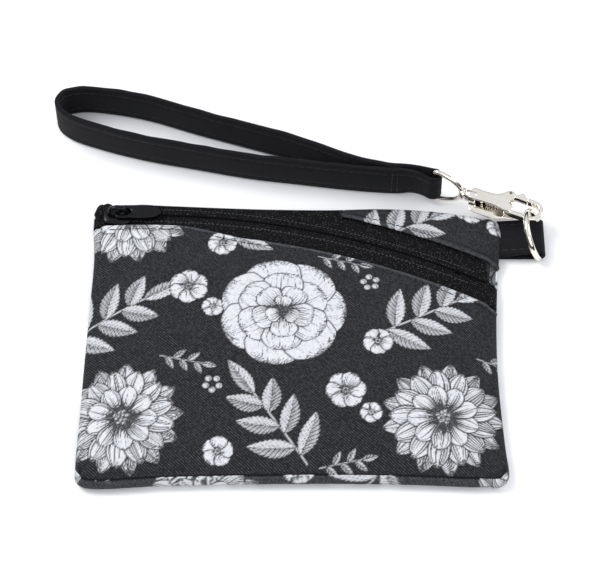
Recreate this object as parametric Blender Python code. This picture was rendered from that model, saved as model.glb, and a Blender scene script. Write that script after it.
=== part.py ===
"""Zipped wristlet wallet with a side tab, a swivel hook and a detachable wrist strap.

The pouch lies on its back on the table. X runs right along the pouch, Y runs
towards its zipped edge, Z is up, and the origin is the middle of the flat back.
Sizes in this file are millimetres and are scaled to metres when a mesh is made.
"""
import math

import bmesh
import bpy
import numpy as np

MM = 0.001

# Pouch: a rounded edge of one radius all round, split between back and front pieces
EDGE_R = 2.25
EXTRA_TURN = 9.0
CLOTH = 0.8
GAP = 0.3
PUFF = 3.9
PUFF_LENGTH = 9.0
ZIP_LIFT = 1.3
LINING_EDGE = 3.2
LINING_SHARE = 0.95

# Zip: planar, on an arc seen from the front
ARC_X, ARC_Y, ARC_R = -48.5, -191.7, 238.5
TAPE_TOP = 4.5
TAPE_THICK = 0.4
TAPE_HALF = 9.5
HALF_SLOT = 0.6
UPPER_START_ANGLE = 74.6
FOLD_FROM_ZIP = 7.3
FOLD_LEFT_END = 4.3
FOLD_NARROWS_FROM, FOLD_NARROW_AT = 81.5, 87.5
LINING_FROM_ZIP = 5.2
TAPE_AT_SIDE = 6.9
TAPE_AT_TOP_LEFT = 4.2
TAPE_AT_LOW_LEFT = 3.9
FRONT_WIDTH, FRONT_DEPTH = 127.0, 86.4
STITCH_FROM_FOLD = 1.8
COIL_LOW, COIL_HIGH = 2.7, 3.9
COIL_HALF = 2.6
COIL_PITCH = 2.54
SLIDER_ANGLE = 91.9
STOP_ANGLE = 65.0
COIL_START_ANGLE = 92.9
SLIDER_LENGTH = 9.0
SLIDER_HALF = 3.6
CROWN_TOP = 8.4
PULL_HINGE_Z = 6.55

# Side tab and its D-ring
RING_BAR = np.array([76.3, 39.4, 2.25])
RING_WIRE = 0.85
RING_HALF = 7.85
RING_STRAIGHT = 2.4
RING_LEAN = math.radians(25.0)
TAB_HALF = 6.5
TAB_THICK = 1.0

# Swivel hook: s runs along it from the swivel, t to its left, z is up
HOOK_AT = np.array([52.7, 53.1, 7.9])
HOOK_ALONG = np.array([0.9243, -0.3817])
HOOK_LEFT = np.array([0.3817, 0.9243])
HOOK_THICK = 3.6
NOSE_THICK = 2.4
PLATE = 0.45
EYE_LEFT = 1.6
EYE_HALF = 2.4
EYE_START, EYE_TURN = 15.0, 22.5
WALL = 1.5
GATE_PIVOT = (14.6, 4.75)
GATE_END = 20.3
SWIVEL_POST_R = 0.65
D_HALF = 6.7
D_BAR = -9.6

# Wrist strap: stands on its edge
STRAP_LOW, STRAP_HIGH = 0.3, 13.0
STRAP_THICK = 1.7
END_LOOP_LOW, END_LOOP_HIGH = 2.5, 13.3
END_LOOP_THICK = 1.1

# Outline of the pouch, anticlockwise from the bottom left corner
OUTLINE = [
    (-62.2, -48.8), (-40.0, -48.2), (-15.0, -47.6), (10.0, -47.4), (35.0, -47.8), (54.0, -48.6),
    (60.6, -48.5), (62.8, -46.2), (62.4, -36.0), (61.6, -20.0), (61.4, -5.0), (62.2, 14.0),
    (63.7, 31.0), (64.7, 42.4), (63.4, 45.6), (57.0, 47.2), (48.0, 48.8), (38.0, 49.9),
    (26.0, 50.4), (11.0, 50.0), (-8.0, 50.2), (-24.0, 50.8), (-38.0, 51.5), (-50.0, 52.0),
    (-59.0, 51.6), (-62.6, 50.2), (-64.0, 46.0), (-63.3, 31.0), (-63.8, 13.0), (-64.4, -8.0),
    (-64.8, -26.0), (-65.2, -42.0), (-64.8, -47.0),
]


# ---------------------------------------------------------------- scene and materials


def clear_scene():
    """Remove whatever objects the scene holds."""
    for item in list(bpy.data.objects):
        bpy.data.objects.remove(item, do_unlink=True)


def make_material(name, color, roughness, metallic=0.0):
    """A Principled material of one colour."""
    material = bpy.data.materials.new(name)
    material.use_nodes = True
    shader = material.node_tree.nodes["Principled BSDF"]
    shader.inputs["Base Color"].default_value = (*color, 1.0)
    shader.inputs["Roughness"].default_value = roughness
    shader.inputs["Metallic"].default_value = metallic
    return material


def new_object(name, verts, faces, material, origin=(0.0, 0.0, 0.0)):
    """A mesh object from millimetre vertices, with its origin at a millimetre point."""
    shift = np.asarray(origin, float)
    points = (np.asarray(verts, float) - shift) * MM
    mesh = bpy.data.meshes.new(name)
    mesh.from_pydata(points.tolist(), [], faces)
    bm = bmesh.new()
    bm.from_mesh(mesh)
    bmesh.ops.recalc_face_normals(bm, faces=bm.faces)
    bm.to_mesh(mesh)
    bm.free()
    mesh.materials.append(material)
    mesh.shade_smooth()
    mesh.set_sharp_from_angle(angle=math.radians(35.0))
    item = bpy.data.objects.new(name, mesh)
    bpy.context.collection.objects.link(item)
    item.location = shift * MM
    return item


def combine(target, other, operation):
    """Join another object to the target, or cut it out, and remove that other object."""
    modifier = target.modifiers.new(operation, "BOOLEAN")
    modifier.operation = operation
    modifier.solver = "EXACT"
    modifier.object = other
    other.hide_render = True
    other.display_type = "WIRE"
    bpy.context.view_layer.update()
    graph = bpy.context.evaluated_depsgraph_get()
    result = bpy.data.meshes.new_from_object(target.evaluated_get(graph))
    target.modifiers.clear()
    target.data = result
    bpy.data.objects.remove(other, do_unlink=True)
    return target


# ---------------------------------------------------------------- plan curves


def centripetal(points, per_span):
    """A closed centripetal Catmull-Rom curve through plan points."""
    ring = np.asarray(points, float)
    out = []
    count = len(ring)
    for i in range(count):
        p0, p1, p2, p3 = (ring[(i + k - 1) % count] for k in range(4))
        t1 = math.sqrt(np.linalg.norm(p1 - p0))
        t2 = t1 + math.sqrt(np.linalg.norm(p2 - p1))
        t3 = t2 + math.sqrt(np.linalg.norm(p3 - p2))
        for k in range(per_span):
            t = t1 + (t2 - t1) * k / per_span
            a1 = p0 * (t1 - t) / t1 + p1 * t / t1
            a2 = p1 * (t2 - t) / (t2 - t1) + p2 * (t - t1) / (t2 - t1)
            a3 = p2 * (t3 - t) / (t3 - t2) + p3 * (t - t2) / (t3 - t2)
            b1 = a1 * (t2 - t) / t2 + a2 * t / t2
            b2 = a2 * (t3 - t) / (t3 - t1) + a3 * (t - t1) / (t3 - t1)
            out.append(b1 * (t2 - t) / (t2 - t1) + b2 * (t - t1) / (t2 - t1))
    return np.array(out)


def inward(points):
    """Unit normals of a closed anticlockwise plan curve, pointing inside."""
    along = np.roll(points, -1, axis=0) - np.roll(points, 1, axis=0)
    along /= np.linalg.norm(along, axis=1)[:, None]
    return np.column_stack([-along[:, 1], along[:, 0]])


FINE = centripetal(OUTLINE, 12)


def edge_distance(points):
    """Distance inside the outline and the inward direction, for plan points."""
    flat = points.reshape(-1, 2)
    start, end = FINE, np.roll(FINE, -1, axis=0)
    span = end - start
    rel = flat[:, None, :] - start[None]
    t = np.clip((rel * span).sum(2) / (span**2).sum(1), 0, 1)
    near = start[None] + t[..., None] * span[None]
    dist = np.linalg.norm(flat[:, None, :] - near, axis=2)
    best = dist.argmin(1)
    rows = np.arange(len(flat))
    away = flat - near[rows, best]
    sides = np.column_stack([-span[best, 1], span[best, 0]])
    sides /= np.linalg.norm(sides, axis=1)[:, None]
    sign = np.where((away * sides).sum(1) < 0, -1.0, 1.0)
    lengths = np.linalg.norm(away, axis=1)[:, None]
    unit = away * sign[:, None] / np.maximum(lengths, 1e-9)
    direction = np.where(lengths > 1e-3, unit, sides)
    return (dist[rows, best] * sign).reshape(points.shape[:-1]), direction.reshape(points.shape)


def split_angle(points):
    """Angle round the edge where the back ends: low at the sides, nearly on top at the bottom edge."""
    blend = np.clip((-41.5 - points[:, 1]) / 5.0, 0, 1)
    blend = blend * blend * (3 - 2 * blend)
    return np.radians(-5.0 + 77.0 * blend)


def inset_outline(extra_degrees, least=0.0):
    """The outline moved in to where a front piece starts on the rounded edge."""
    angle = split_angle(FINE) + math.radians(extra_degrees)
    inset = np.maximum(EDGE_R * (1 - np.cos(angle)), least)
    return FINE + inward(FINE) * inset[:, None]


def arc_point(radius, angle_deg):
    """A plan point at a distance from the zip arc's centre."""
    angle = math.radians(angle_deg)
    return np.array([ARC_X + radius * math.cos(angle), ARC_Y + radius * math.sin(angle)])


def from_arc(points):
    """Distance of plan points from the zip's centre line, positive towards the top edge."""
    return np.hypot(points[..., 0] - ARC_X, points[..., 1] - ARC_Y) - ARC_R


def fold_from_zip(points):
    """Distance of the cloth's folded edges from the zip: less for the lower one at the left."""
    angle = np.degrees(np.arctan2(points[..., 1] - ARC_Y, points[..., 0] - ARC_X))
    share = np.clip((angle - FOLD_NARROWS_FROM) / (FOLD_NARROW_AT - FOLD_NARROWS_FROM), 0, 1)
    share = share * share * (3 - 2 * share) * (from_arc(points) < 0)
    return FOLD_FROM_ZIP + (FOLD_LEFT_END - FOLD_FROM_ZIP) * share


def crossing(curve, offset, right):
    """The place on a closed curve where it meets the zip arc moved by offset."""
    value = from_arc(curve) - offset
    for i in range(len(curve)):
        j = (i + 1) % len(curve)
        on_side = (curve[i][0] > 0) == right
        if on_side and value[i] * value[j] <= 0 and value[i] != value[j]:
            return i + value[i] / (value[i] - value[j])
    raise ValueError("the curve does not meet the arc")


def nearest_index(curve, point):
    """The index on a closed curve nearest to a plan point."""
    return float(np.linalg.norm(curve - np.asarray(point), axis=1).argmin())


def stretch(curve, start, end, fractions, forward=True):
    """Points along a closed curve between two fractional indices, at fractions of its length."""
    count = len(curve)
    if forward:
        span = (end - start) % count
        index = start + np.linspace(0, span, 200)
    else:
        span = (start - end) % count
        index = start - np.linspace(0, span, 200)
    low = np.floor(index).astype(int)
    part = (index - low)[:, None]
    points = curve[low % count] * (1 - part) + curve[(low + 1) % count] * part
    run = np.concatenate([[0], np.cumsum(np.linalg.norm(np.diff(points, axis=0), axis=1))])
    want = np.asarray(fractions) * run[-1]
    return np.column_stack([np.interp(want, run, points[:, k]) for k in range(2)])


def coons(bottom, top, left, right, us, vs):
    """A plan grid between four boundary curves."""
    u = np.asarray(us)[:, None, None]
    v = np.asarray(vs)[None, :, None]
    along = (1 - v) * bottom[:, None, :] + v * top[:, None, :]
    across = (1 - u) * left[None] + u * right[None]
    corners = (1 - u) * (1 - v) * bottom[0] + u * (1 - v) * bottom[-1]
    corners = corners + (1 - u) * v * top[0] + u * v * top[-1]
    return along + across - corners


def arc_row(offset, start, end, fractions):
    """Points on the zip arc moved by offset, between two plan points."""
    first = math.atan2(start[1] - ARC_Y, start[0] - ARC_X)
    last = math.atan2(end[1] - ARC_Y, end[0] - ARC_X)
    angles = first + (last - first) * np.asarray(fractions)
    rays = np.column_stack([np.cos(angles), np.sin(angles)])
    return np.array([ARC_X, ARC_Y]) + rays * (ARC_R + offset)


def lower_fold_row(start, end, fractions):
    """Points along the lower folded edge, between two plan points."""
    middle = arc_row(-FOLD_FROM_ZIP, start, end, fractions)
    rays = middle - np.array([ARC_X, ARC_Y])
    rays = rays / np.linalg.norm(rays, axis=1)[:, None]
    return np.array([ARC_X, ARC_Y]) + rays * (ARC_R - fold_from_zip(middle))[:, None]


# ---------------------------------------------------------------- shells


def grid_faces(rows, cols):
    """Quads of a closed slab made of a top grid followed by a bottom grid."""
    faces = []
    size = rows * cols
    for i in range(rows - 1):
        for j in range(cols - 1):
            a, b = i * cols + j, (i + 1) * cols + j
            faces.append((a, b, b + 1, a + 1))
            faces.append((size + a, size + a + 1, size + b + 1, size + b))
    rim = [(i, 0) for i in range(rows)] + [(rows - 1, j) for j in range(1, cols)]
    rim += [(i, cols - 1) for i in range(rows - 2, -1, -1)] + [(0, j) for j in range(cols - 2, 0, -1)]
    ids = [i * cols + j for i, j in rim]
    for a, b in zip(ids, ids[1:] + ids[:1]):
        faces.append((a, size + a, size + b, b))
    return faces


def skin(name, plan, height, thick, material):
    """A closed shell whose top follows height and turns down round the pouch's edge."""
    depth, inner = edge_distance(plan)
    cosine = np.clip((EDGE_R - depth) / EDGE_R, 0, 1)
    sine = np.sqrt(1 - cosine**2)
    z = height(plan, depth) - EDGE_R * (1 - sine)
    top = np.concatenate([plan, z[..., None]], axis=2)
    under_plan = plan + inner * (thick * cosine)[..., None]
    under = np.concatenate([under_plan, (z - thick * sine)[..., None]], axis=2)
    rows, cols = plan.shape[:2]
    verts = np.concatenate([top.reshape(-1, 3), under.reshape(-1, 3)])
    return new_object(name, verts, grid_faces(rows, cols), material)


def rise(depth, below_fold, start=0.0):
    """How far the padded front stands above the edge height."""
    inner = 1 - np.exp(-np.maximum(depth - EDGE_R, 0) / PUFF_LENGTH)
    return PUFF * inner * (1 - np.exp(-np.maximum(below_fold - start, 0) / PUFF_LENGTH))


def front_height(plan, depth):
    """Top of the outer front cloth: padded, and lifted over the zip tape beside the folds."""
    offset = from_arc(plan)
    lift = ZIP_LIFT * (1 - np.exp(-np.maximum(depth - EDGE_R, 0) / 0.7))
    lift = lift * np.exp(-((np.maximum(np.abs(offset) - FOLD_FROM_ZIP, 0) / 6.5) ** 2))
    puff = np.where(offset > 0, 0.0, rise(depth, -offset - fold_from_zip(plan)))
    return 2 * EDGE_R + lift + puff


def lining_height(plan, depth):
    """Top of the front lining, under the cloth and under the zip tape."""
    below = np.abs(from_arc(plan)) - FOLD_FROM_ZIP
    upper = from_arc(plan) > 0
    return LINING_EDGE + np.where(upper, 0.0, LINING_SHARE * rise(depth, below, 2.5))


def tape_height(plan, depth):
    """The zip tape is flat."""
    return np.full(plan.shape[:-1], TAPE_TOP)


def both_ends(steps, length, even):
    """Fractions clustered at both ends by distances in millimetres, with an even middle."""
    near = np.asarray(steps) / length
    middle = np.linspace(near[-1], 1 - near[-1], even)[1:-1]
    return np.concatenate([near, middle, (1 - near)[::-1]])


EDGE_STEPS = [0.0, 0.3, 0.9, 2.2, 4.3, 8.5]


def lower_patch(least, folds, us, vs):
    """Plan grid of a front piece below the zip, from the fold's place at its left and right ends."""
    curve = inset_outline(EXTRA_TURN, least)
    low_left = nearest_index(curve, (-64.4, -48.0))
    low_right = nearest_index(curve, (62.2, -47.8))
    bottom = stretch(curve, low_left, low_right, us)
    right = stretch(curve, low_right, crossing(curve, -folds[1], True), vs)
    left = stretch(curve, low_left, crossing(curve, -folds[0], False), vs, forward=False)
    if folds[0] == folds[1]:
        top = arc_row(-folds[0], left[-1], right[-1], us)
    else:
        top = lower_fold_row(left[-1], right[-1], us)
    return coons(bottom, top, left, right, us, vs)


def make_front_lower(material):
    """The outer front below the zip, with its top edge folded under."""
    us = both_ends(EDGE_STEPS, FRONT_WIDTH, 15)
    rows = [0, 0.8, 2.6, 6.0, 12.0, 21.0, 33.0, 46.0, 58.0, 68.0, 76.0, 81.0, 84.0, FRONT_DEPTH]
    plan = lower_patch(0.0, (FOLD_LEFT_END, FOLD_FROM_ZIP), us, np.array(rows) / FRONT_DEPTH)
    return skin("outer_front_lower", plan, front_height, CLOTH, material)


def make_lining_lower(material):
    """The lining behind the lower front, sewn to the lower tape."""
    us = np.array([0, 3, 9, 20, 38, 61, 84, 102, 113, 119, 122]) / 122.0
    vs = np.array([0, 3, 9, 20, 36, 52, 66, 76, 80]) / 80.0
    plan = lower_patch(2.6, (LINING_FROM_ZIP, LINING_FROM_ZIP), us, vs)
    return skin("lining_front_lower", plan, lining_height, TAPE_THICK, material)


def upper_patch(least, fold, start_angle, us, vs):
    """Plan grid of a front piece between the zip and the top edge, right of a start angle."""
    curve = inset_outline(EXTRA_TURN, least)
    right_low = crossing(curve, fold, True)
    first = arc_point(ARC_R + fold, start_angle)
    top_start = nearest_index(curve, (first[0] + 0.4, 50.0))
    top_end = nearest_index(curve, (64.4, 44.6))
    bottom = arc_row(fold, first, stretch(curve, right_low, right_low + 1, [0.0])[0], us)
    right = stretch(curve, right_low, top_end, vs)
    top = stretch(curve, top_start, top_end, us, forward=False)
    left = bottom[0] + (top[0] - bottom[0]) * np.asarray(vs)[:, None]
    return coons(bottom, top, left, right, us, vs)


def make_front_upper(material):
    """The outer front above the zip: it starts where there is room and widens to the right."""
    us = np.array([0, 4, 9, 15, 21, 28, 35, 41, 46, 49.5, 51.6, 52.7, 53.3, 53.6]) / 53.6
    vs = np.array([0, 0.3, 0.55, 0.74, 0.88, 0.96, 1.0])
    plan = upper_patch(0.0, FOLD_FROM_ZIP, UPPER_START_ANGLE, us, vs)
    return skin("outer_front_upper", plan, front_height, CLOTH, material)


def make_lining_upper(material):
    """The lining behind the upper front, sewn to the upper tape."""
    us = np.linspace(0, 1, 8)
    vs = np.array([0, 0.5, 1.0])
    plan = upper_patch(2.6, LINING_FROM_ZIP, UPPER_START_ANGLE - 1.6, us, vs)
    return skin("lining_front_upper", plan, lining_height, TAPE_THICK, material)


def tape_end(curve, offset, right):
    """Where a row of zip tape meets the pouch's side."""
    at = crossing(curve, offset, right)
    return stretch(curve, at, at + 1, [0.0])[0]


def end_angles(curve, reaches, v, sign):
    """Angles round the zip's centre where a row of tape meets the pouch's two sides."""
    angles = []
    for reach, right in zip(reaches, (False, True)):
        offset = HALF_SLOT + (reach - HALF_SLOT) * v
        x, y = tape_end(curve, sign * offset, right)
        angles.append(math.atan2(y - ARC_Y, x - ARC_X))
    return angles


def tape_patch(reaches, us, vs, sign):
    """Plan grid of one zip tape, as rows from its bead out to its woven edge."""
    curve = inset_outline(EXTRA_TURN)
    plan = np.zeros((len(us), len(vs), 2))
    for j, v in enumerate(vs):
        first, last = end_angles(curve, reaches, v, sign)
        for i, u in enumerate(us):
            angle = first + (last - first) * u
            ray = np.array([math.cos(angle), math.sin(angle)])
            reach = HALF_SLOT + (tape_reach(ray, u, sign) - HALF_SLOT) * v
            plan[i, j] = np.array([ARC_X, ARC_Y]) + ray * (ARC_R + sign * reach)
    return plan


def tape_reach(ray, u, sign):
    """How far the tape goes out from the zip: less at its ends and near the top edge."""
    end = min(u, 1 - u) * FRONT_WIDTH
    narrow = TAPE_AT_LOW_LEFT if sign < 0 and u < 0.5 else TAPE_AT_SIDE
    wide = narrow + (TAPE_HALF - narrow) * np.clip((end - 6.5) / 2.5, 0, 1)
    if sign < 0:
        return wide
    along = np.linspace(ARC_R + 2.0, ARC_R + 16.0, 80)
    line = np.array([ARC_X, ARC_Y]) + ray * along[:, None]
    depth = edge_distance(line)[0]
    room = (np.interp(-0.05, -depth, along) if depth.min() < 0.05 else along[-1]) - ARC_R
    if math.degrees(math.atan2(ray[1], ray[0])) > UPPER_START_ANGLE + 1.0:
        return min(room, wide) if end < 4.6 else room
    return min(wide, room - 4.4)


def make_tapes(material):
    """The two woven tapes; the upper one also covers the top edge left of the upper front."""
    us = both_ends([0.0, 0.3, 0.9, 2.2, 4.4, 6.8], FRONT_WIDTH, 9)
    fine = np.concatenate([us[:6], np.linspace(us[5], 1 - us[5], 21)[1:-1], us[-6:]])
    reaches = (TAPE_AT_LOW_LEFT, TAPE_AT_SIDE)
    lower = tape_patch(reaches, us, [0.0, 0.5, 1.0], -1)
    skin("zip_tape_lower", lower, tape_height, TAPE_THICK, material)
    reaches = (TAPE_AT_TOP_LEFT, TAPE_AT_SIDE)
    upper = tape_patch(reaches, fine, [0.0, 0.45, 0.72, 0.86, 0.95, 1.0], 1)
    skin("zip_tape_upper", upper, tape_height, TAPE_THICK, material)


def make_back(material):
    """The back: a flat panel whose edge turns up, and rolls over at the bottom edge."""
    curve = centripetal(OUTLINE, 3)
    normal = inward(curve)
    end = split_angle(curve)
    rows = []
    for share in np.linspace(0, 1, 6):
        angle = -math.pi / 2 + (end + math.pi / 2) * share
        rows.append((EDGE_R * (1 - np.cos(angle)), EDGE_R * (1 + np.sin(angle))))
    inner_r = EDGE_R - CLOTH
    for share in np.linspace(1, 0, 5):
        angle = -math.pi / 2 + (end + math.pi / 2) * share
        rows.append((EDGE_R - inner_r * np.cos(angle), EDGE_R + inner_r * np.sin(angle)))
    verts = [np.column_stack([curve + normal * inset[:, None], z]) for inset, z in rows]
    count = len(curve)
    faces = []
    for k in range(len(rows) - 1):
        for i in range(count):
            j = (i + 1) % count
            faces.append((k * count + i, k * count + j, (k + 1) * count + j, (k + 1) * count + i))
    faces.append(tuple(range(count)))
    faces.append(tuple((len(rows) - 1) * count + i for i in range(count)))
    return new_object("outer_back", np.concatenate(verts), faces, material)


def make_lining_back(material):
    """The back lining: a flat panel inside the back."""
    curve = centripetal(OUTLINE, 2)
    curve = curve + inward(curve) * 2.2
    return extrude("lining_back", curve, 1.1, 1.5, material)


# ---------------------------------------------------------------- simple solids


def extrude(name, plan, low, high, material, origin=(0.0, 0.0, 0.0)):
    """A plan outline extruded between two heights."""
    count = len(plan)
    low_ring = [(x, y, low) for x, y in plan]
    high_ring = [(x, y, high) for x, y in plan]
    faces = [tuple(range(count)), tuple(range(count, 2 * count))]
    faces += [(i, (i + 1) % count, count + (i + 1) % count, count + i) for i in range(count)]
    return new_object(name, low_ring + high_ring, faces, material, origin)


def tube(name, path, radius, sides, material, closed=False, origin=(0.0, 0.0, 0.0), up=(0.0, 0.0, 1.0)):
    """A round bar along a path of millimetre points; radius may be one number or a pair."""
    path = np.asarray(path, float)
    count = len(path)
    if closed:
        along = np.roll(path, -1, axis=0) - np.roll(path, 1, axis=0)
    else:
        along = np.gradient(path, axis=0)
    along /= np.linalg.norm(along, axis=1)[:, None]
    side = np.cross(along, np.asarray(up, float))
    side /= np.linalg.norm(side, axis=1)[:, None]
    top = np.cross(side, along)
    wide, tall = radius if isinstance(radius, tuple) else (radius, radius)
    verts = []
    for i in range(count):
        for k in range(sides):
            angle = 2 * math.pi * (k + 0.5) / sides
            verts.append(path[i] + side[i] * wide * math.cos(angle) + top[i] * tall * math.sin(angle))
    faces = []
    for i in range(count if closed else count - 1):
        a, b = i * sides, ((i + 1) % count) * sides
        faces += [(a + k, a + (k + 1) % sides, b + (k + 1) % sides, b + k) for k in range(sides)]
    if not closed:
        faces.append(tuple(range(sides)))
        faces.append(tuple((count - 1) * sides + k for k in range(sides)))
    return new_object(name, verts, faces, material, origin)


def box(name, low, high, material, frame=None):
    """A box between two corners, in a frame given as origin, x, y and z directions."""
    origin, ex, ey, ez = frame or ((0, 0, 0), (1, 0, 0), (0, 1, 0), (0, 0, 1))
    axes = np.array([ex, ey, ez], float)
    corners = [(x, y, z) for z in (low[2], high[2]) for x, y in
               ((low[0], low[1]), (high[0], low[1]), (high[0], high[1]), (low[0], high[1]))]
    verts = [np.asarray(origin, float) + np.asarray(c) @ axes for c in corners]
    faces = [(0, 3, 2, 1), (4, 5, 6, 7), (0, 1, 5, 4), (1, 2, 6, 5), (2, 3, 7, 6), (3, 0, 4, 7)]
    return new_object(name, verts, faces, material)


# ---------------------------------------------------------------- zip hardware


def make_coils(material):
    """One toothed strip on each side of the zip's centre, under its tape."""
    step = math.degrees(COIL_PITCH / ARC_R)
    count = int((COIL_START_ANGLE - STOP_ANGLE - 0.6) / step)
    for name, sign in (("zip_coil_lower", -1), ("zip_coil_upper", 1)):
        inner, outer = [], []
        for i in range(count):
            angle = COIL_START_ANGLE - i * step
            inner.append(arc_point(ARC_R + sign * 1.4, angle))
            inner.append(arc_point(ARC_R + sign * HALF_SLOT, angle - 0.3 * step))
            inner.append(arc_point(ARC_R + sign * HALF_SLOT, angle - 0.7 * step))
        last = COIL_START_ANGLE - count * step
        inner.append(arc_point(ARC_R + sign * 1.4, last))
        for i in range(0, 13):
            angle = last + (COIL_START_ANGLE - last) * i / 12
            outer.append(arc_point(ARC_R + sign * COIL_HALF, angle))
        extrude(name, inner + outer, COIL_LOW, COIL_HIGH, material)


def zip_frame(angle_deg, z=0.0):
    """A frame on the zip: x forward to the right, y towards the top edge, z up."""
    angle = math.radians(angle_deg)
    centre = arc_point(ARC_R, angle_deg)
    forward = (math.sin(angle), -math.cos(angle), 0.0)
    out = (math.cos(angle), math.sin(angle), 0.0)
    return (centre[0], centre[1], z), forward, out, (0.0, 0.0, 1.0)


def make_stop(material):
    """The bottom stop clamps the ends of both coils under the tapes."""
    low, high = (-1.1, -COIL_HALF, COIL_LOW), (1.1, COIL_HALF, COIL_HIGH)
    box("zip_bottom_stop", low, high, material, zip_frame(STOP_ANGLE))


def slider_plan(frame):
    """A slider plate's outline: wide at the front and pinched behind."""
    centre, forward, out, _ = (np.asarray(v, float) for v in frame)
    shares = ((-0.5, 0.62), (-0.38, 0.86), (-0.2, 0.95), (0.1, 1.0), (0.3, 0.98), (0.44, 0.82), (0.5, 0.5))
    points = [(x * SLIDER_LENGTH, y * SLIDER_HALF) for x, y in shares]
    mirrored = [(x, -y) for x, y in reversed(points)]
    return [(centre + forward * x + out * y)[:2] for x, y in points + mirrored]


def make_slider(material):
    """Slider: lower plate with flanges, a narrow post in the slot, upper plate and crown."""
    frame = zip_frame(SLIDER_ANGLE)
    plate = slider_plan(frame)
    body = extrude("zip_slider", plate, 1.8, 2.4, material)
    parts = [
        box("post", (-1.5, -0.3, 2.1), (1.5, 0.3, 5.2), material, frame),
        extrude("plate", plate, 4.8, 5.6, material),
        box("flange_a", (-2.6, 3.0, 2.1), (2.6, 3.5, 3.2), material, frame),
        box("flange_b", (-2.6, -3.5, 2.1), (2.6, -3.0, 3.2), material, frame),
        crown(frame, material),
    ]
    for part in parts:
        combine(body, part, "UNION")
    return body


def crown(frame, material):
    """The crown: a flat arch along the slider that the pull hangs on."""
    centre, forward, out, _ = (np.asarray(v, float) for v in frame)
    outer = [(3.0, 5.3), (3.0, 6.6), (2.2, 7.9), (0.9, CROWN_TOP)]
    inner = [(1.9, 5.3), (1.9, 6.3), (1.4, 7.1), (0.5, 7.5)]
    outer = [(-x, z) for x, z in outer] + outer[::-1]
    inner = inner + [(-x, z) for x, z in reversed(inner)]
    ring = outer + inner
    verts = []
    for y in (-0.8, 0.8):
        verts += [centre + forward * x + out * y + np.array([0, 0, z]) for x, z in ring]
    count = len(ring)
    faces = [tuple(range(count)), tuple(range(count, 2 * count))]
    faces += [(i, (i + 1) % count, count + (i + 1) % count, count + i) for i in range(count)]
    return new_object("crown", verts, faces, material)


def make_pull(material):
    """Pull: a flat tab with an eye round the crown, hinged across the zip."""
    frame = zip_frame(SLIDER_ANGLE)
    origin = np.asarray(frame[0]) + np.array([0, 0, PULL_HINGE_Z])
    outer = [(-0.5, -2.1), (0.4, -2.3), (3.0, -2.3), (6.5, -2.5), (11.8, -2.2), (13.4, -1.6), (14.0, -0.7)]
    outer = outer + [(x, -y) for x, y in reversed(outer)]
    body = plate_on(frame, "zip_pull", outer, 6.1, 7.0, material)
    window = [(0.45, -1.25), (4.2, -1.25), (4.2, 1.25), (0.45, 1.25)]
    hole = plate_on(frame, "hole", window, 5.0, 8.0, material)
    combine(body, hole, "DIFFERENCE")
    shift_origin(body, origin)
    return body


def plate_on(frame, name, plan, low, high, material):
    """A plan shape given forward and out of the zip frame, extruded between heights."""
    centre, forward, out, _ = (np.asarray(v, float) for v in frame)
    points = [(centre + forward * x + out * y)[:2] for x, y in plan]
    return extrude(name, points, low, high, material)


def shift_origin(item, origin):
    """Move an object's origin to a millimetre point without moving its mesh."""
    target = np.asarray(origin, float) * MM
    delta = target - np.array(item.location)
    for vertex in item.data.vertices:
        vertex.co = [vertex.co[k] - delta[k] for k in range(3)]
    item.location = target


# ---------------------------------------------------------------- stitching


def on_front(plan, lift):
    """Points just above the outer front cloth."""
    depth = edge_distance(plan)[0]
    z = front_height(plan, depth)
    return np.column_stack([plan, z + lift])


def make_topstitch(material):
    """A raised thread line beside each folded edge of the zip opening."""
    angles = np.linspace(91.5, 65.4, 27)
    folds = fold_from_zip(np.array([arc_point(ARC_R - 1.0, a) for a in angles]))
    places = zip(angles, folds)
    plan = np.array([arc_point(ARC_R - fold - STITCH_FROM_FOLD, a) for a, fold in places])
    tube("topstitch_lower", on_front(plan, 0.4), (0.25, 0.15), 6, material)
    angles = np.linspace(74.0, 66.0, 9)
    plan = np.array([arc_point(ARC_R + FOLD_FROM_ZIP + STITCH_FROM_FOLD, a) for a in angles])
    tube("topstitch_upper", on_front(plan, 0.4), (0.25, 0.15), 6, material)


# ---------------------------------------------------------------- side tab and ring


def make_tab(cloth, thread):
    """The side tab: one strip folded round the D-ring's bar, both ends in the side seam."""
    bar_x, _, bar_z = RING_BAR
    outer_r = RING_WIRE + GAP + TAB_THICK
    inner_r = RING_WIRE + GAP
    turn = [math.radians(a) for a in range(90, -91, -20)]
    outer = [(bar_x + outer_r * math.cos(a), bar_z + outer_r * math.sin(a)) for a in turn]
    inner = [(bar_x + inner_r * math.cos(a), bar_z + inner_r * math.sin(a)) for a in turn[::-1]]
    ring = [(64.9, 2.9)] + outer + [(64.9, 0.1), (65.6, 1.1)] + inner + [(65.6, 1.9)]
    count = len(ring)
    verts = []
    for y in (RING_BAR[1] - TAB_HALF, RING_BAR[1] + TAB_HALF):
        verts += [(x, y, z) for x, z in ring]
    faces = [tuple(range(count)), tuple(range(count, 2 * count))]
    faces += [(i, (i + 1) % count, count + (i + 1) % count, count + i) for i in range(count)]
    new_object("side_tab", verts, faces, cloth)
    path = []
    for x, y in ((67.0, -5.4), (73.4, -5.4), (73.4, 5.4), (67.0, 5.4)):
        slope = 2.9 + (bar_z + outer_r - 2.9) * (x - 64.9) / (bar_x - 64.9)
        path.append((x, RING_BAR[1] + y, slope + 0.3))
    tube("tab_stitching", path, (0.2, 0.12), 4, thread, closed=True)


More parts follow.
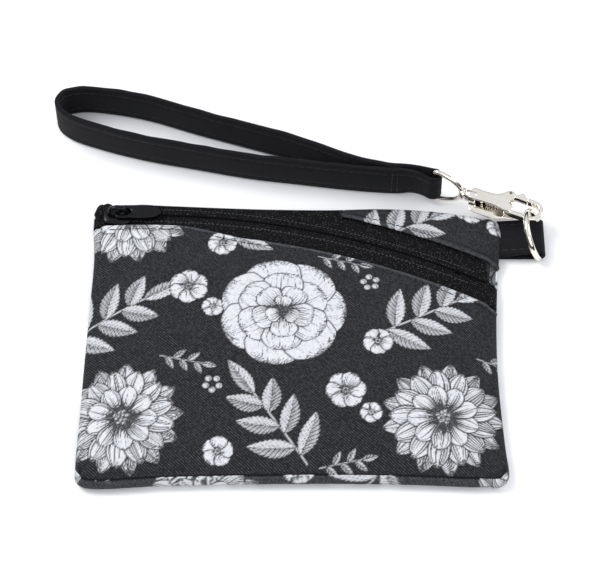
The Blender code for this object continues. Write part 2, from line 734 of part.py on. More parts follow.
def make_tab_ring(material):
    """The D-ring: a bar in the tab's fold and a round bow leaning over the pouch."""
    lean = np.array([-math.sin(RING_LEAN), 0.0, math.cos(RING_LEAN)])
    across = np.array([0.0, 1.0, 0.0])
    points = [(-RING_HALF + 0.9, 0.0), (-2.6, 0.0), (2.6, 0.0), (RING_HALF - 0.9, 0.0)]
    points += [(RING_HALF - 0.1, 0.6), (RING_HALF, 1.6)]
    for k in range(0, 13):
        angle = math.pi * k / 12
        points.append((RING_HALF * math.cos(angle), RING_STRAIGHT + RING_HALF * math.sin(angle)))
    points += [(-RING_HALF, 1.6), (-RING_HALF + 0.1, 0.6)]
    path = [RING_BAR + across * v + lean * h for v, h in points]
    up = np.cross(lean, across)
    tube("tab_ring", path, RING_WIRE, 8, material, closed=True, origin=RING_BAR, up=up)


# ---------------------------------------------------------------- hook, gate and swivel


def hook_point(s, t):
    """Plan point from distances along and left of the hook."""
    return HOOK_AT[:2] + HOOK_ALONG * s + HOOK_LEFT * t


def hook_solid(name, plan, low, high, material):
    """A shape in the hook's own plan, extruded between heights."""
    return extrude(name, [hook_point(s, t) for s, t in plan], low, high, material)


def half_round(radius, steps=10):
    """Points round the hook's nose from its right wall to its left wall."""
    out = []
    for k in range(steps + 1):
        angle = -math.pi / 2 + math.pi * k / steps
        out.append((EYE_TURN + radius * math.cos(angle), EYE_LEFT + radius * math.sin(angle)))
    return out


def across(low_along, high_along, low_left, high_left):
    """A rectangle in the hook's own plan."""
    return [(low_along, low_left), (high_along, low_left), (high_along, high_left), (low_along, high_left)]


def make_hook(material):
    """Hook body: neck with the swivel's bore, an open-fronted channel, and the open eye."""
    low = HOOK_AT[2] - HOOK_THICK / 2
    high = HOOK_AT[2] + HOOK_THICK / 2
    right, left = EYE_LEFT - EYE_HALF - WALL, EYE_LEFT + EYE_HALF + WALL
    outer = [(3.6, -2.5), (16.2, right + 0.1), (16.2, left + 0.15), (13.0, left + 0.15)]
    outer += [(10.4, 3.0), (3.6, 2.5)]
    body = hook_solid("hook_body", outer, low, high, material)
    shelf = [(3.9, -3.9), (6.0, -4.4), (11.5, -4.4), (16.0, -2.9), (15.6, -1.5), (3.9, -1.5)]
    combine(body, hook_solid("shelf", shelf, low + 0.04, low + PLATE - 0.04, material), "UNION")
    nose_low, nose_high = HOOK_AT[2] - NOSE_THICK / 2, HOOK_AT[2] + NOSE_THICK / 2
    nose = [(15.0, right)] + half_round(EYE_HALF + WALL) + [(15.0, left)]
    combine(body, hook_solid("nose", nose, nose_low, nose_high, material), "UNION")
    combine(body, swivel_round("neck", 1.3, 5.0, 2.2, 14, material), "UNION")
    for name, plan, bottom, top in hook_cuts(low, high):
        combine(body, hook_solid(name, plan, bottom, top, material), "DIFFERENCE")
    bore = swivel_round("bore", -1.0, 6.4, SWIVEL_POST_R + GAP, 10, material)
    combine(body, bore, "DIFFERENCE")
    combine(body, round_pin("pin_bore", 0.8, low - 1, high + 1, material), "DIFFERENCE")
    shift_origin(body, HOOK_AT)
    return body


def hook_cuts(low, high):
    """Shapes cut out of the hook: the eye, the gate's slot and opening, and the channel."""
    inner_right, inner_left = EYE_LEFT - EYE_HALF, EYE_LEFT + EYE_HALF
    eye = [(EYE_START, inner_right)] + half_round(EYE_HALF) + [(EYE_START, inner_left)]
    slot = across(13.2, GATE_END, 3.3, 8.5)
    opening = across(16.4, GATE_END + GAP, 3.6, 8.0)
    channel = across(5.8, 12.8, -6.0, 1.5)
    return [
        ("eye", eye, low - 1, high + 1),
        ("slot", slot, HOOK_AT[2] - 0.95, HOOK_AT[2] + 0.95),
        ("opening", opening, low - 1, high + 1),
        ("channel", channel, low + PLATE, high - PLATE),
    ]


def swivel_round(name, start, end, radius, sides, material):
    """A cylinder on the swivel's axis."""
    along = np.array([HOOK_ALONG[0], HOOK_ALONG[1], 0.0])
    path = [HOOK_AT + along * start, HOOK_AT + along * end]
    return tube(name, path, radius, sides, material)


def round_pin(name, radius, low, high, material):
    """A vertical cylinder at the gate's pivot."""
    x, y = hook_point(*GATE_PIVOT)
    path = [(x, y, low), (x, y, high)]
    return tube(name, path, radius, 10, material, up=(0.0, 1.0, 0.0))


def make_gate(material):
    """The gate: a knuckle on the pin, a bar that closes the mouth, and a thumb stub."""
    x, y = hook_point(*GATE_PIVOT)
    middle = HOOK_AT[2]
    bar = [(16.7, 4.05), (GATE_END, 4.05), (GATE_END, 5.4), (19.2, 5.5)]
    bar += [(18.9, 6.5), (17.5, 6.5), (17.2, 5.5), (16.7, 5.4)]
    body = hook_solid("hook_gate", bar, middle - 1.15, middle + 1.15, material)
    tongue = across(GATE_PIVOT[0], 17.0, 4.2, 5.3)
    combine(body, hook_solid("tongue", tongue, middle - 0.6, middle + 0.6, material), "UNION")
    path = [(x, y, middle - 0.6), (x, y, middle + 0.6)]
    combine(body, tube("knuckle", path, 1.1, 12, material, up=(0.0, 1.0, 0.0)), "UNION")
    combine(body, round_pin("gate_bore", 0.75, middle - 2, middle + 2, material), "DIFFERENCE")
    shift_origin(body, (x, y, middle))
    return body


def make_gate_pin(material):
    """The pin is held in the hook and the gate turns on it."""
    half = HOOK_THICK / 2 - 0.05
    round_pin("gate_pin", 0.5, HOOK_AT[2] - half, HOOK_AT[2] + half, material)


def make_eye(material):
    """The strap's D-ring with the swivel rivet that turns in the hook's neck."""
    half = [(D_BAR, 0.0), (D_BAR, D_HALF - 0.8), (D_BAR + 0.8, D_HALF), (-7.0, 6.5), (-4.2, 5.5)]
    half += [(-2.2, 4.1), (-0.7, 2.3), (-0.3, 0.8)]
    points = half + [(s, -z) for s, z in reversed(half[1:])]
    path = [(*hook_point(s, 0.0), HOOK_AT[2] + z) for s, z in points]
    up = np.array([HOOK_LEFT[0], HOOK_LEFT[1], 0.0])
    body = tube("swivel_eye", path, RING_WIRE, 8, material, closed=True, up=up)
    combine(body, swivel_round("shank", -0.3, 6.9, SWIVEL_POST_R, 10, material), "UNION")
    combine(body, swivel_round("head", 6.3, 7.3, 1.05, 12, material), "UNION")
    combine(body, swivel_round("shoulder", -0.6, 1.0, 2.0, 12, material), "UNION")
    shift_origin(body, HOOK_AT)
    return body


# ---------------------------------------------------------------- wrist strap


def band(name, path, thick, low, high, material):
    """A closed band that stands on its edge, with heights given by functions of x."""
    path = np.asarray(path, float)
    side = inward(path)
    count = len(path)
    verts = []
    for half, edge in ((-0.5, low), (-0.5, high), (0.5, high), (0.5, low)):
        plan = path + side * thick * half
        verts += [(x, y, edge(px)) for (x, y), px in zip(plan, path[:, 0])]
    faces = []
    for k in range(4):
        a, b = k * count, ((k + 1) % 4) * count
        faces += [(a + i, a + (i + 1) % count, b + (i + 1) % count, b + i) for i in range(count)]
    return new_object(name, verts, faces, material)


STRAP_PATH = [
    (31.7, 59.9), (30.9, 61.0), (28.0, 61.3), (17.2, 64.4), (1.3, 71.3), (-15.0, 76.8),
    (-31.0, 82.0), (-48.0, 88.0), (-60.0, 90.7), (-70.0, 91.6), (-75.2, 90.2), (-77.3, 87.0),
    (-76.4, 83.6), (-72.5, 80.2), (-64.0, 76.6), (-48.8, 71.9), (-31.0, 68.0), (-14.8, 64.6),
    (1.3, 62.3), (16.7, 60.2), (28.0, 58.9), (30.9, 58.8),
]


def strap_low(x):
    """Lower edge of the strap: it narrows towards the ring."""
    return float(np.interp(x, [33.0, 41.0], [STRAP_LOW, END_LOOP_LOW]))


def strap_high(x):
    """Upper edge of the strap."""
    return float(np.interp(x, [33.0, 41.0], [STRAP_HIGH, END_LOOP_HIGH]))


def make_strap(material):
    """The strap: one strip that makes the wrist loop and a small end loop round the bar."""
    body = band("wrist_strap", STRAP_PATH, STRAP_THICK, strap_low, strap_high, material)
    bar = hook_point(D_BAR, 0.0)
    radius = RING_WIRE + GAP + END_LOOP_THICK / 2
    back = np.array([-HOOK_ALONG[0], -HOOK_ALONG[1]])
    start = math.atan2(back[1], back[0])
    loop = []
    for k in range(11):
        angle = start + math.radians(70 + 22 * k)
        loop.append(bar + radius * np.array([math.cos(angle), math.sin(angle)]))
    loop += [(37.5, 60.1), (33.5, 60.8), (30.2, 60.9), (29.4, 60.0)]
    loop += [(30.2, 59.1), (33.5, 58.8), (37.5, 58.1)]
    end = band("end_loop", order_round(loop), END_LOOP_THICK, strap_low, strap_high, material)
    combine(body, end, "UNION")
    shift_origin(body, (bar[0], bar[1], HOOK_AT[2]))
    return body


def order_round(points):
    """The same closed curve, turned to run anticlockwise."""
    ring = np.array([np.asarray(p, float) for p in points])
    area = np.sum(ring[:, 0] * np.roll(ring[:, 1], -1) - np.roll(ring[:, 0], -1) * ring[:, 1])
    return ring if area > 0 else ring[::-1]


def main():
    """Builds every piece."""
    clear_scene()
    print_cloth = make_material("print_cloth", (0.05, 0.05, 0.055), 0.9)
    lining = make_material("lining_cloth", (0.12, 0.12, 0.12), 0.9)
    tape = make_material("zip_tape", (0.012, 0.012, 0.012), 0.8)
    coil = make_material("zip_coil", (0.01, 0.01, 0.01), 0.4)
    gloss = make_material("slider_black", (0.01, 0.01, 0.01), 0.2, 0.6)
    thread = make_material("thread", (0.01, 0.01, 0.01), 0.7)
    webbing = make_material("strap_cloth", (0.02, 0.02, 0.022), 0.9)
    metal = make_material("nickel", (0.75, 0.72, 0.66), 0.15, 1.0)
    make_back(print_cloth)
    make_front_lower(print_cloth)
    make_front_upper(print_cloth)
    make_lining_back(lining)
    make_lining_lower(lining)
    make_lining_upper(lining)
    make_tapes(tape)
    make_coils(coil)
    make_stop(metal)
    make_slider(gloss)
    make_pull(gloss)
    make_topstitch(thread)
    make_tab(webbing, thread)
    make_tab_ring(metal)
    make_hook(metal)
    make_gate(metal)
    make_gate_pin(metal)
    make_eye(metal)
    make_strap(webbing)


main()
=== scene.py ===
"""Looks of the zipped wristlet wallet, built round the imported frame.

Plan sizes are millimetres in the part's own frame: x right, y towards the zipped
edge, z up from the table. They become metres when a mesh is made.
"""

import math

import bmesh
import bpy
import numpy as np
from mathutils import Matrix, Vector


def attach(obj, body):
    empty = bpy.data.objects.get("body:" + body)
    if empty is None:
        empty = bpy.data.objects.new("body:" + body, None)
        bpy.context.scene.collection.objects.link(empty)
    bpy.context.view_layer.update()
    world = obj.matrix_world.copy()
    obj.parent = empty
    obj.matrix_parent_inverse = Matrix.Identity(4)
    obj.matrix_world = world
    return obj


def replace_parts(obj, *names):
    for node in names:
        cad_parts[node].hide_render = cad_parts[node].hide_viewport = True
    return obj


MM = 0.001

# The pouch: its edge, the zip's arc and the folded cloth beside the zip, as in the part
EDGE_R = 2.25
PUFF = 3.9
PUFF_LENGTH = 9.0
ZIP_LIFT = 1.3
ARC_X, ARC_Y, ARC_R = -48.5, -191.7, 238.5
ARC_CENTRE = np.array([ARC_X, ARC_Y])
ARC_DEGREE = 4.16
FOLD = 7.3
FOLD_LEFT_END = 4.3
FOLD_NARROWS_FROM, FOLD_NARROW_AT = 81.5, 87.5
FOLD_ROUND = 0.55
STITCH_IN = 1.8
CREASE_IN = 1.6
ROLL_FROM = -41.5
TAPE_TOP = 4.5
TAPE_HALF = 9.5
TAPE_LENGTH = 127.0
TAPE_LEFT_END_LOW, TAPE_LEFT_END_HIGH, TAPE_RIGHT_END = 3.9, 4.2, 6.9
LINING_OUT = 5.2
LINING_IN = 2.6
LINING_Z, BACK_LINING_Z = 3.0, 1.3
COIL_PITCH = 1.27
COIL_START, COIL_END = 92.8, 65.6
HALF_SLOT = 0.4
UPPER_START_ANGLE = 74.6

# The D-ring in the side tab, and the swivel hook
RING_BAR = np.array([76.3, 39.4, 2.25])
RING_HALF = 7.85
RING_STRAIGHT = 2.4
RING_LEAN = math.radians(25.0)
HOOK_AT = np.array([52.7, 53.1, 7.9])
HOOK_ALONG = np.array([0.9243, -0.3817])
HOOK_LEFT = np.array([0.3817, 0.9243])
D_BAR = -9.6
GATE_PIN = (14.6, 4.75)
SLIDER_ANGLE = 91.9
TAB_HALF = 6.5

# The cloth's grid is fine where the print is seen close.
PRINT_STEP, BACK_STEP = 0.34, 0.5

# The print: the columns' spacing, its height of repeat, and the turn between one flower and the next.
COLUMN = 48.0
REPEAT = 74.0
GOLDEN = 137.5

OUTLINE = [
    (-62.2, -48.8), (-40.0, -48.2), (-15.0, -47.6), (10.0, -47.4), (35.0, -47.8), (54.0, -48.6),
    (60.6, -48.5), (62.8, -46.2), (62.4, -36.0), (61.6, -20.0), (61.4, -5.0), (62.2, 14.0),
    (63.7, 31.0), (64.7, 42.4), (63.4, 45.6), (57.0, 47.2), (48.0, 48.8), (38.0, 49.9),
    (26.0, 50.4), (11.0, 50.0), (-8.0, 50.2), (-24.0, 50.8), (-38.0, 51.5), (-50.0, 52.0),
    (-59.0, 51.6), (-62.6, 50.2), (-64.0, 46.0), (-63.3, 31.0), (-63.8, 13.0), (-64.4, -8.0),
    (-64.8, -26.0), (-65.2, -42.0), (-64.8, -47.0),
]

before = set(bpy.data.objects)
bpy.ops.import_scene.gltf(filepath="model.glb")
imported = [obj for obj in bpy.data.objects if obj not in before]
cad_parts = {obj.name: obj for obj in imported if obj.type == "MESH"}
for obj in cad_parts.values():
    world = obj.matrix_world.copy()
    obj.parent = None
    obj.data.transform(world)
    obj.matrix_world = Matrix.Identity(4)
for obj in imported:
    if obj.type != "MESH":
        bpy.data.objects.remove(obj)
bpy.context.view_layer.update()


# ---------------------------------------------------------------- plan curves


def centripetal(points, per_span):
    """A closed centripetal Catmull-Rom curve through points."""
    ring = np.asarray(points, float)
    out = []
    count = len(ring)
    for i in range(count):
        p0, p1, p2, p3 = (ring[(i + k - 1) % count] for k in range(4))
        t1 = math.sqrt(np.linalg.norm(p1 - p0))
        t2 = t1 + math.sqrt(np.linalg.norm(p2 - p1))
        t3 = t2 + math.sqrt(np.linalg.norm(p3 - p2))
        for k in range(per_span):
            t = t1 + (t2 - t1) * k / per_span
            a1 = p0 * (t1 - t) / t1 + p1 * t / t1
            a2 = p1 * (t2 - t) / (t2 - t1) + p2 * (t - t1) / (t2 - t1)
            a3 = p2 * (t3 - t) / (t3 - t2) + p3 * (t - t2) / (t3 - t2)
            b1 = a1 * (t2 - t) / t2 + a2 * t / t2
            b2 = a2 * (t3 - t) / (t3 - t1) + a3 * (t - t1) / (t3 - t1)
            out.append(b1 * (t2 - t) / (t2 - t1) + b2 * (t - t1) / (t2 - t1))
    return np.array(out)


def inward(points):
    """Unit normals of a closed anticlockwise plan curve, pointing inside."""
    along = np.roll(points, -1, axis=0) - np.roll(points, 1, axis=0)
    along = along / np.linalg.norm(along, axis=1)[:, None]
    return np.column_stack([-along[:, 1], along[:, 0]])


FINE = centripetal(OUTLINE, 8)


def edge_distance(points):
    """Distance inside the outline and the inward direction, for plan points."""
    flat = points.reshape(-1, 2)
    start, end = FINE, np.roll(FINE, -1, axis=0)
    span = end - start
    length2 = (span**2).sum(1)
    sides = np.column_stack([-span[:, 1], span[:, 0]]) / np.sqrt(length2)[:, None]
    depth = np.empty(len(flat))
    direction = np.empty((len(flat), 2))
    for low in range(0, len(flat), 8000):
        part = flat[low : low + 8000]
        rel = part[:, None, :] - start[None]
        t = np.clip((rel * span).sum(2) / length2, 0, 1)
        away = rel - t[..., None] * span[None]
        dist2 = (away**2).sum(2)
        best = dist2.argmin(1)
        rows = np.arange(len(part))
        gone = away[rows, best]
        size = np.sqrt(dist2[rows, best])
        sign = np.where((gone * sides[best]).sum(1) < 0, -1.0, 1.0)
        unit = gone * sign[:, None] / np.maximum(size, 1e-9)[:, None]
        depth[low : low + 8000] = size * sign
        direction[low : low + 8000] = np.where(size[:, None] > 1e-3, unit, sides[best])
    return depth.reshape(points.shape[:-1]), direction.reshape(points.shape)


def split_angle(points):
    """Angle round the edge where back and front meet: low at the sides, nearly on top at the bottom edge."""
    blend = np.clip((ROLL_FROM - points[:, 1]) / 5.0, 0, 1)
    blend = blend * blend * (3 - 2 * blend)
    return np.radians(-5.0 + 77.0 * blend)


def inset_outline(extra_degrees):
    """The outline moved in to where a front piece starts on the rounded edge."""
    angle = split_angle(FINE) + math.radians(extra_degrees)
    return FINE + inward(FINE) * (EDGE_R * (1 - np.cos(angle)))[:, None]


def arc_point(radius, angle_deg):
    """A plan point at a distance from the zip arc's centre."""
    angle = math.radians(angle_deg)
    return np.array([ARC_X + radius * math.cos(angle), ARC_Y + radius * math.sin(angle)])


def from_arc(points):
    """Distance of plan points from the zip's centre line, positive towards the top edge."""
    return np.hypot(points[..., 0] - ARC_X, points[..., 1] - ARC_Y) - ARC_R


def arc_rays(points):
    """Unit directions of plan points from the zip arc's centre."""
    rays = points - ARC_CENTRE
    return rays / np.linalg.norm(rays, axis=1)[:, None]


def arc_angle(points):
    """Angle of plan points round the zip arc's centre, in degrees."""
    return np.degrees(np.arctan2(points[..., 1] - ARC_Y, points[..., 0] - ARC_X))


def fold_from_zip(points):
    """Distance of the folded edges from the zip: less for the lower one at the left."""
    share = np.clip((arc_angle(points) - FOLD_NARROWS_FROM) / (FOLD_NARROW_AT - FOLD_NARROWS_FROM), 0, 1)
    share = share * share * (3 - 2 * share) * (from_arc(points) < 0)
    return FOLD + (FOLD_LEFT_END - FOLD) * share


def crossing(curve, offset, right):
    """The place on a closed curve where it meets the zip arc moved by offset."""
    value = from_arc(curve) - offset
    for i in range(len(curve)):
        j = (i + 1) % len(curve)
        if (curve[i][0] > 0) == right and value[i] * value[j] <= 0 and value[i] != value[j]:
            return i + value[i] / (value[i] - value[j])
    raise ValueError("the curve does not meet the arc")


def nearest_index(curve, point):
    """The index on a closed curve nearest to a plan point."""
    return float(np.linalg.norm(curve - np.asarray(point), axis=1).argmin())


def stretch(curve, start, end, fractions, forward=True):
    """Points along a closed curve between two fractional indices, at fractions of its length."""
    count = len(curve)
    span = (end - start) % count if forward else (start - end) % count
    index = start + np.linspace(0, span, 900) * (1 if forward else -1)
    low = np.floor(index).astype(int)
    part = (index - low)[:, None]
    points = curve[low % count] * (1 - part) + curve[(low + 1) % count] * part
    run = run_length(points)
    want = np.asarray(fractions) * run[-1]
    return np.column_stack([np.interp(want, run, points[:, k]) for k in range(2)])


def coons(bottom, top, left, right, us, vs):
    """A plan grid between four boundary curves."""
    u = np.asarray(us)[:, None, None]
    v = np.asarray(vs)[None, :, None]
    along = (1 - v) * bottom[:, None, :] + v * top[:, None, :]
    across = (1 - u) * left[None] + u * right[None]
    corners = (1 - u) * (1 - v) * bottom[0] + u * (1 - v) * bottom[-1]
    corners = corners + (1 - u) * v * top[0] + u * v * top[-1]
    return along + across - corners


def arc_row(offset, start, end, fractions):
    """Points on the zip arc moved by offset, between two plan points."""
    first, last = (math.atan2(p[1] - ARC_Y, p[0] - ARC_X) for p in (start, end))
    angles = first + (last - first) * np.asarray(fractions)
    radius = ARC_R + offset
    return np.column_stack([ARC_X + radius * np.cos(angles), ARC_Y + radius * np.sin(angles)])


def spread(length, step, low_steps, high_steps):
    """Fractions of a length: given distances at each end and even steps between."""
    low, high = np.asarray(low_steps), length - np.asarray(high_steps)[::-1]
    count = max(2, int((high[0] - low[-1]) / step))
    middle = np.linspace(low[-1], high[0], count)[1:-1]
    return np.concatenate([low, middle, high]) / length


CURL = [0.0, 0.03, 0.1, 0.22, 0.4, 0.62, 0.9, 1.25, 1.65, 2.1, 2.6]


def lower_fold_row(start, end, extra, fractions):
    """Points beside the lower folded edge, between two plan points."""
    middle = arc_row(-FOLD, start, end, fractions)
    return ARC_CENTRE + arc_rays(middle) * (ARC_R - fold_from_zip(middle) - extra)[:, None]


# ---------------------------------------------------------------- cloth heights


def ripple(position, seed):
    """A smooth irregular wave of one variable, about one in size."""
    value = 0.0
    for k, wave in enumerate((23.0, 13.1, 7.9, 5.2)):
        turn = 2 * math.pi * position / wave + seed * (k + 1) * 1.3
        value = value + math.sin(1.7 * seed + 2.1 * k) * np.sin(turn)
    return value * 0.6


def rise(depth, below_fold):
    """How far the filled front stands above the edge height."""
    inner = 1 - np.exp(-np.maximum(depth - EDGE_R, 0) / PUFF_LENGTH)
    return PUFF * inner * (1 - np.exp(-np.maximum(below_fold, 0) / PUFF_LENGTH))


def front_height(plan, depth):
    """Top of the front cloth: filled, lifted over the zip tape, puckered along its seams."""
    offset = from_arc(plan)
    below = np.abs(offset) - fold_from_zip(plan)
    lift = ZIP_LIFT * (1 - np.exp(-np.maximum(depth - EDGE_R, 0) / 0.7))
    lift = lift * np.exp(-((np.maximum(np.abs(offset) - FOLD, 0) / 6.5) ** 2))
    height = 2 * EDGE_R + lift + np.where(offset > 0, 0.0, rise(depth, below))
    along = arc_angle(plan) * ARC_DEGREE
    pucker = 0.10 * ripple(along * 1.3, 1.0) * np.exp(-((below - 4.0) / 3.0) ** 2)
    near_edge = np.exp(-((depth - 4.5) / 3.5) ** 2)
    pucker = pucker + 0.10 * ripple(plan[..., 0] + 0.8 * plan[..., 1], 2.4) * near_edge
    broad = 0.16 * ripple(plan[..., 0] * 0.45 + plan[..., 1] * 0.2, 3.3)
    broad = broad + 0.14 * ripple(plan[..., 1] * 0.4, 5.1)
    broad = broad * np.clip((depth - 5) / 14, 0, 1) * np.clip((below - 3) / 10, 0, 1)
    stitch = -0.22 * np.exp(-(((below - STITCH_IN) / 0.45) ** 2))
    stitch = stitch + 0.12 * np.exp(-(((below - 0.8) / 0.5) ** 2))
    inside = np.clip((depth - 2.5) / 2.0, 0, 1)
    return height + pucker * inside + broad + stitch * inside


def turned(plan, height_at):
    """Points of a skin over a plan grid that turns down round the pouch's rounded edge."""
    depth, _ = edge_distance(plan)
    cosine = np.clip((EDGE_R - depth) / EDGE_R, 0, 1)
    z = height_at(plan, depth) - EDGE_R * (1 - np.sqrt(1 - cosine**2))
    return np.concatenate([plan, z[..., None]], axis=2)


def tuck(points, axis, at_end, deep=0.7):
    """Adds one row that turns in at a seam, so that the edge shows as a crease."""
    edge = np.take(points, [-1 if at_end else 0], axis=axis)
    _, inner = edge_distance(edge[..., :2])
    row = edge.copy()
    row[..., :2] += inner * deep
    return np.concatenate([points, row] if at_end else [row, points], axis=axis)


def fold_over(points, side):
    """Adds rows that round a folded edge over and under, along the last v row."""
    edge = points[:, -1, :]
    ray = side * arc_rays(edge[:, :2])
    rows = []
    for angle in (25, 50, 75, 100, 130, 165):
        a = math.radians(angle)
        row = edge.copy()
        row[:, :2] += ray * FOLD_ROUND * math.sin(a)
        row[:, 2] -= FOLD_ROUND * (1 - math.cos(a)) * 0.8
        rows.append(row)
    under = rows[-1].copy()
    under[:, :2] -= ray * 1.2
    rows.append(under)
    return np.concatenate([points] + [r[:, None, :] for r in rows], axis=1)


# ---------------------------------------------------------------- the print


class Ink:
    """Pale line-drawn motifs on a dark ground, worked out at plan points."""

    def __init__(self, points):
        self.x = points[:, 0]
        self.y = points[:, 1]
        self.value = np.zeros(len(points))

    def local(self, base, angle, reach):
        """Points near a base, in a frame turned by an angle."""
        near = np.abs(self.x - base[0]) < reach
        near &= np.abs(self.y - base[1]) < reach
        where = np.nonzero(near)[0]
        dx, dy = self.x[where] - base[0], self.y[where] - base[1]
        c, s = math.cos(math.radians(angle)), math.sin(math.radians(angle))
        return where, dx * c + dy * s, -dx * s + dy * c

    def lay(self, where, cover, tone):
        """Paints a tone with a cover from 0 to 1."""
        cover = np.clip(cover, 0, 1)
        self.value[where] = self.value[where] * (1 - cover) + tone * cover


def soft(distance, width=0.3):
    """1 inside, 0 outside, over a narrow band."""
    return np.clip(distance / width + 0.5, 0, 1)


def scatter(index, seed):
    """A repeatable value from 0 to 1 for each line."""
    wave = np.sin(index * 12.9898 + seed * 78.233) * 43758.5453
    return wave - np.floor(wave)


def petal(ink, base, angle, length, width, lines=11, wide=1.35, shade=0.62, ruffle=0.0, tone=0.96,
          point=0.55, edge_lines=0.16, heavy=1.0):
    """One petal with an outline, lines from its base and short lines at its rim."""
    where, u, v = ink.local(base, angle, length * 1.1 + width)
    if not len(where):
        return
    u = u / length
    safe = np.clip(u, 0.0, 1.0)
    half = 0.5 * width * np.sin(math.pi * safe**wide) ** point
    half = half * (1 + ruffle * np.sin(safe * 23 + angle) * safe) + 1e-6
    inside = np.where((u > 0) & (u < 1), half - np.abs(v), -1.0)
    ink.lay(where, soft(inside + 0.42), 0.0)
    t = np.clip(v / half, -1, 1)
    order = np.round(t * lines * 0.5)
    off = np.abs(t * lines * 0.5 - order) * half / (lines * 0.5)
    reach = shade * (0.45 + 0.75 * scatter(order, angle + base[0]))
    thick = heavy * 0.21 * np.clip(1.15 - safe / np.maximum(reach, 0.05), 0, 1)
    hatch = soft(thick - off, 0.16) * (thick > 0.01)
    rim_start = 1 - edge_lines * (0.3 + scatter(order, 7.0 + angle))
    rim = soft(0.1 - off, 0.16) * (safe > rim_start)
    ink.lay(where, soft(inside), tone)
    ink.lay(where, soft(inside) * np.maximum(hatch, rim * (edge_lines > 0)), 0.05)


def leaf(ink, base, angle, length, width, veins=9, tone=0.85, bend=0.0, dark_side=1):
    """One leaf with a midrib and slanting veins, one half shaded."""
    where, u, v = ink.local(base, angle, length * 1.15 + width)
    if not len(where):
        return
    u = u / length
    v = v - bend * length * u * (1 - u)
    safe = np.clip(u, 0, 1)
    half = 0.5 * width * np.sin(math.pi * safe**0.82) ** 0.9 + 1e-6
    half = half * (1 + 0.07 * np.sin(safe * veins * 2 * math.pi))
    inside = np.where((u > 0) & (u < 1), half - np.abs(v), -1.0)
    t = np.clip(v / half, -1, 1)
    phase = (safe - 0.42 * np.abs(t) * width / length) * veins
    off = np.abs(phase - np.round(phase)) * length / veins
    shaded = (t * dark_side > 0) * 1.0
    thick = 0.14 + 0.12 * shaded - 0.08 * np.abs(t)
    line = soft(thick - off, 0.18)
    second = phase + 0.5
    between = np.abs(second - np.round(second)) * length / veins
    fine = soft(0.05 + 0.1 * shaded - between, 0.18) * np.clip(1.1 - 1.6 * np.abs(t), 0, 1)
    rib = soft(0.16 * (1.1 - safe) - np.abs(v), 0.16)
    ink.lay(where, soft(inside + 0.3), 0.0)
    ink.lay(where, soft(inside), tone - 0.22 * shaded)
    ink.lay(where, soft(inside) * np.maximum(np.maximum(line, fine * 0.8), rib), 0.06)


def heading_vector(degrees):
    """A unit vector in plan."""
    return np.array([math.cos(math.radians(degrees)), math.sin(math.radians(degrees))])


def stem(ink, points, width, tone=0.75):
    """A thin stem along a few points."""
    points = np.asarray(points, float)
    for a, b in zip(points[:-1], points[1:]):
        length = float(np.linalg.norm(b - a))
        angle = math.degrees(math.atan2(b[1] - a[1], b[0] - a[0]))
        where, u, v = ink.local(a, angle, length + 1)
        over = np.maximum(np.maximum(-u, u - length), 0)
        ink.lay(where, soft(width / 2 - np.hypot(v, over), 0.22), tone)


def berry(ink, centre, radius, tone=0.85):
    """A round berry with a dark crescent."""
    where, u, v = ink.local(centre, 30.0, radius * 2)
    dist = np.hypot(u, v)
    ink.lay(where, soft(radius + 0.25 - dist), 0.0)
    ink.lay(where, soft(radius - dist), tone)
    ring = np.abs(np.hypot(u + 0.3 * radius, v) - 0.75 * radius)
    ink.lay(where, soft(0.12 - ring, 0.15) * (u > -0.2 * radius) * soft(radius - dist), 0.05)


def blossom(ink, centre, radius, petals, turn, lines, eye):
    """A small open flower with a dotted eye."""
    width = radius * 5.2 / petals
    for k in range(petals):
        angle = turn + 360.0 * k / petals
        petal(ink, centre, angle, radius, width, lines=lines, wide=1.5, shade=0.7, ruffle=0.05)
    where, u, v = ink.local(centre, 0.0, radius)
    dist = np.hypot(u, v)
    ink.lay(where, soft(radius * eye - dist), 0.08)
    for k in range(8):
        berry_dot(ink, centre + 0.6 * radius * eye * heading_vector(45 * k + turn), 0.16)


def berry_dot(ink, centre, radius):
    """A plain pale dot."""
    where, u, v = ink.local(centre, 0.0, 1.5)
    ink.lay(where, soft(radius - np.hypot(u, v), 0.2), 0.9)


def spray(ink, centre, heading, size):
    """A branch: broad leaves in pairs along a stem, and one at its tip."""
    along = heading_vector(heading)
    start = centre - along * size * 0.55
    stem(ink, [start, start + along * size * 0.9], 0.5)
    for pair in range(3):
        for side in (1, -1):
            at = start + along * size * (0.14 + 0.25 * pair + 0.04 * side)
            leaf(ink, at, heading + side * (54 - 7 * pair), size * (0.44 - 0.04 * pair), size * 0.165,
                 veins=10, bend=0.12 * side, dark_side=side)
    leaf(ink, start + along * size * 0.84, heading, size * 0.42, size * 0.15, veins=10)


def sprig(ink, start, heading, size):
    """A small stem with narrow leaves on alternate sides."""
    along = heading_vector(heading)
    stem(ink, [start, start + along * size], 0.35, 0.6)
    for k in range(5):
        side = 1 if k % 2 else -1
        at = start + along * size * (0.15 + 0.17 * k)
        leaf(ink, at, heading + side * 50, size * 0.36, size * 0.13, veins=5, dark_side=side)
    leaf(ink, start + along * size, heading, size * 0.36, size * 0.14, veins=5)


def rose(ink, centre, size, turn):
    """A large flower: rings of evenly spaced petals, the inner rings smaller and darker."""
    rings = (
        (7, 1.0, 0.88, 24, 0.7), (6, 0.74, 0.62, 16, 0.75), (5, 0.5, 0.42, 10, 0.8), (3, 0.28, 0.26, 6, 0.9),
    )
    for ring, (count, reach, wide, lines, dark) in enumerate(rings):
        for k in range(count):
            petal(ink, centre, turn + 29.0 * ring + 360.0 * k / count, size * reach, size * wide,
                  lines=lines, wide=1.8, shade=dark, ruffle=0.03, point=0.5, edge_lines=0.14, heavy=1.6)


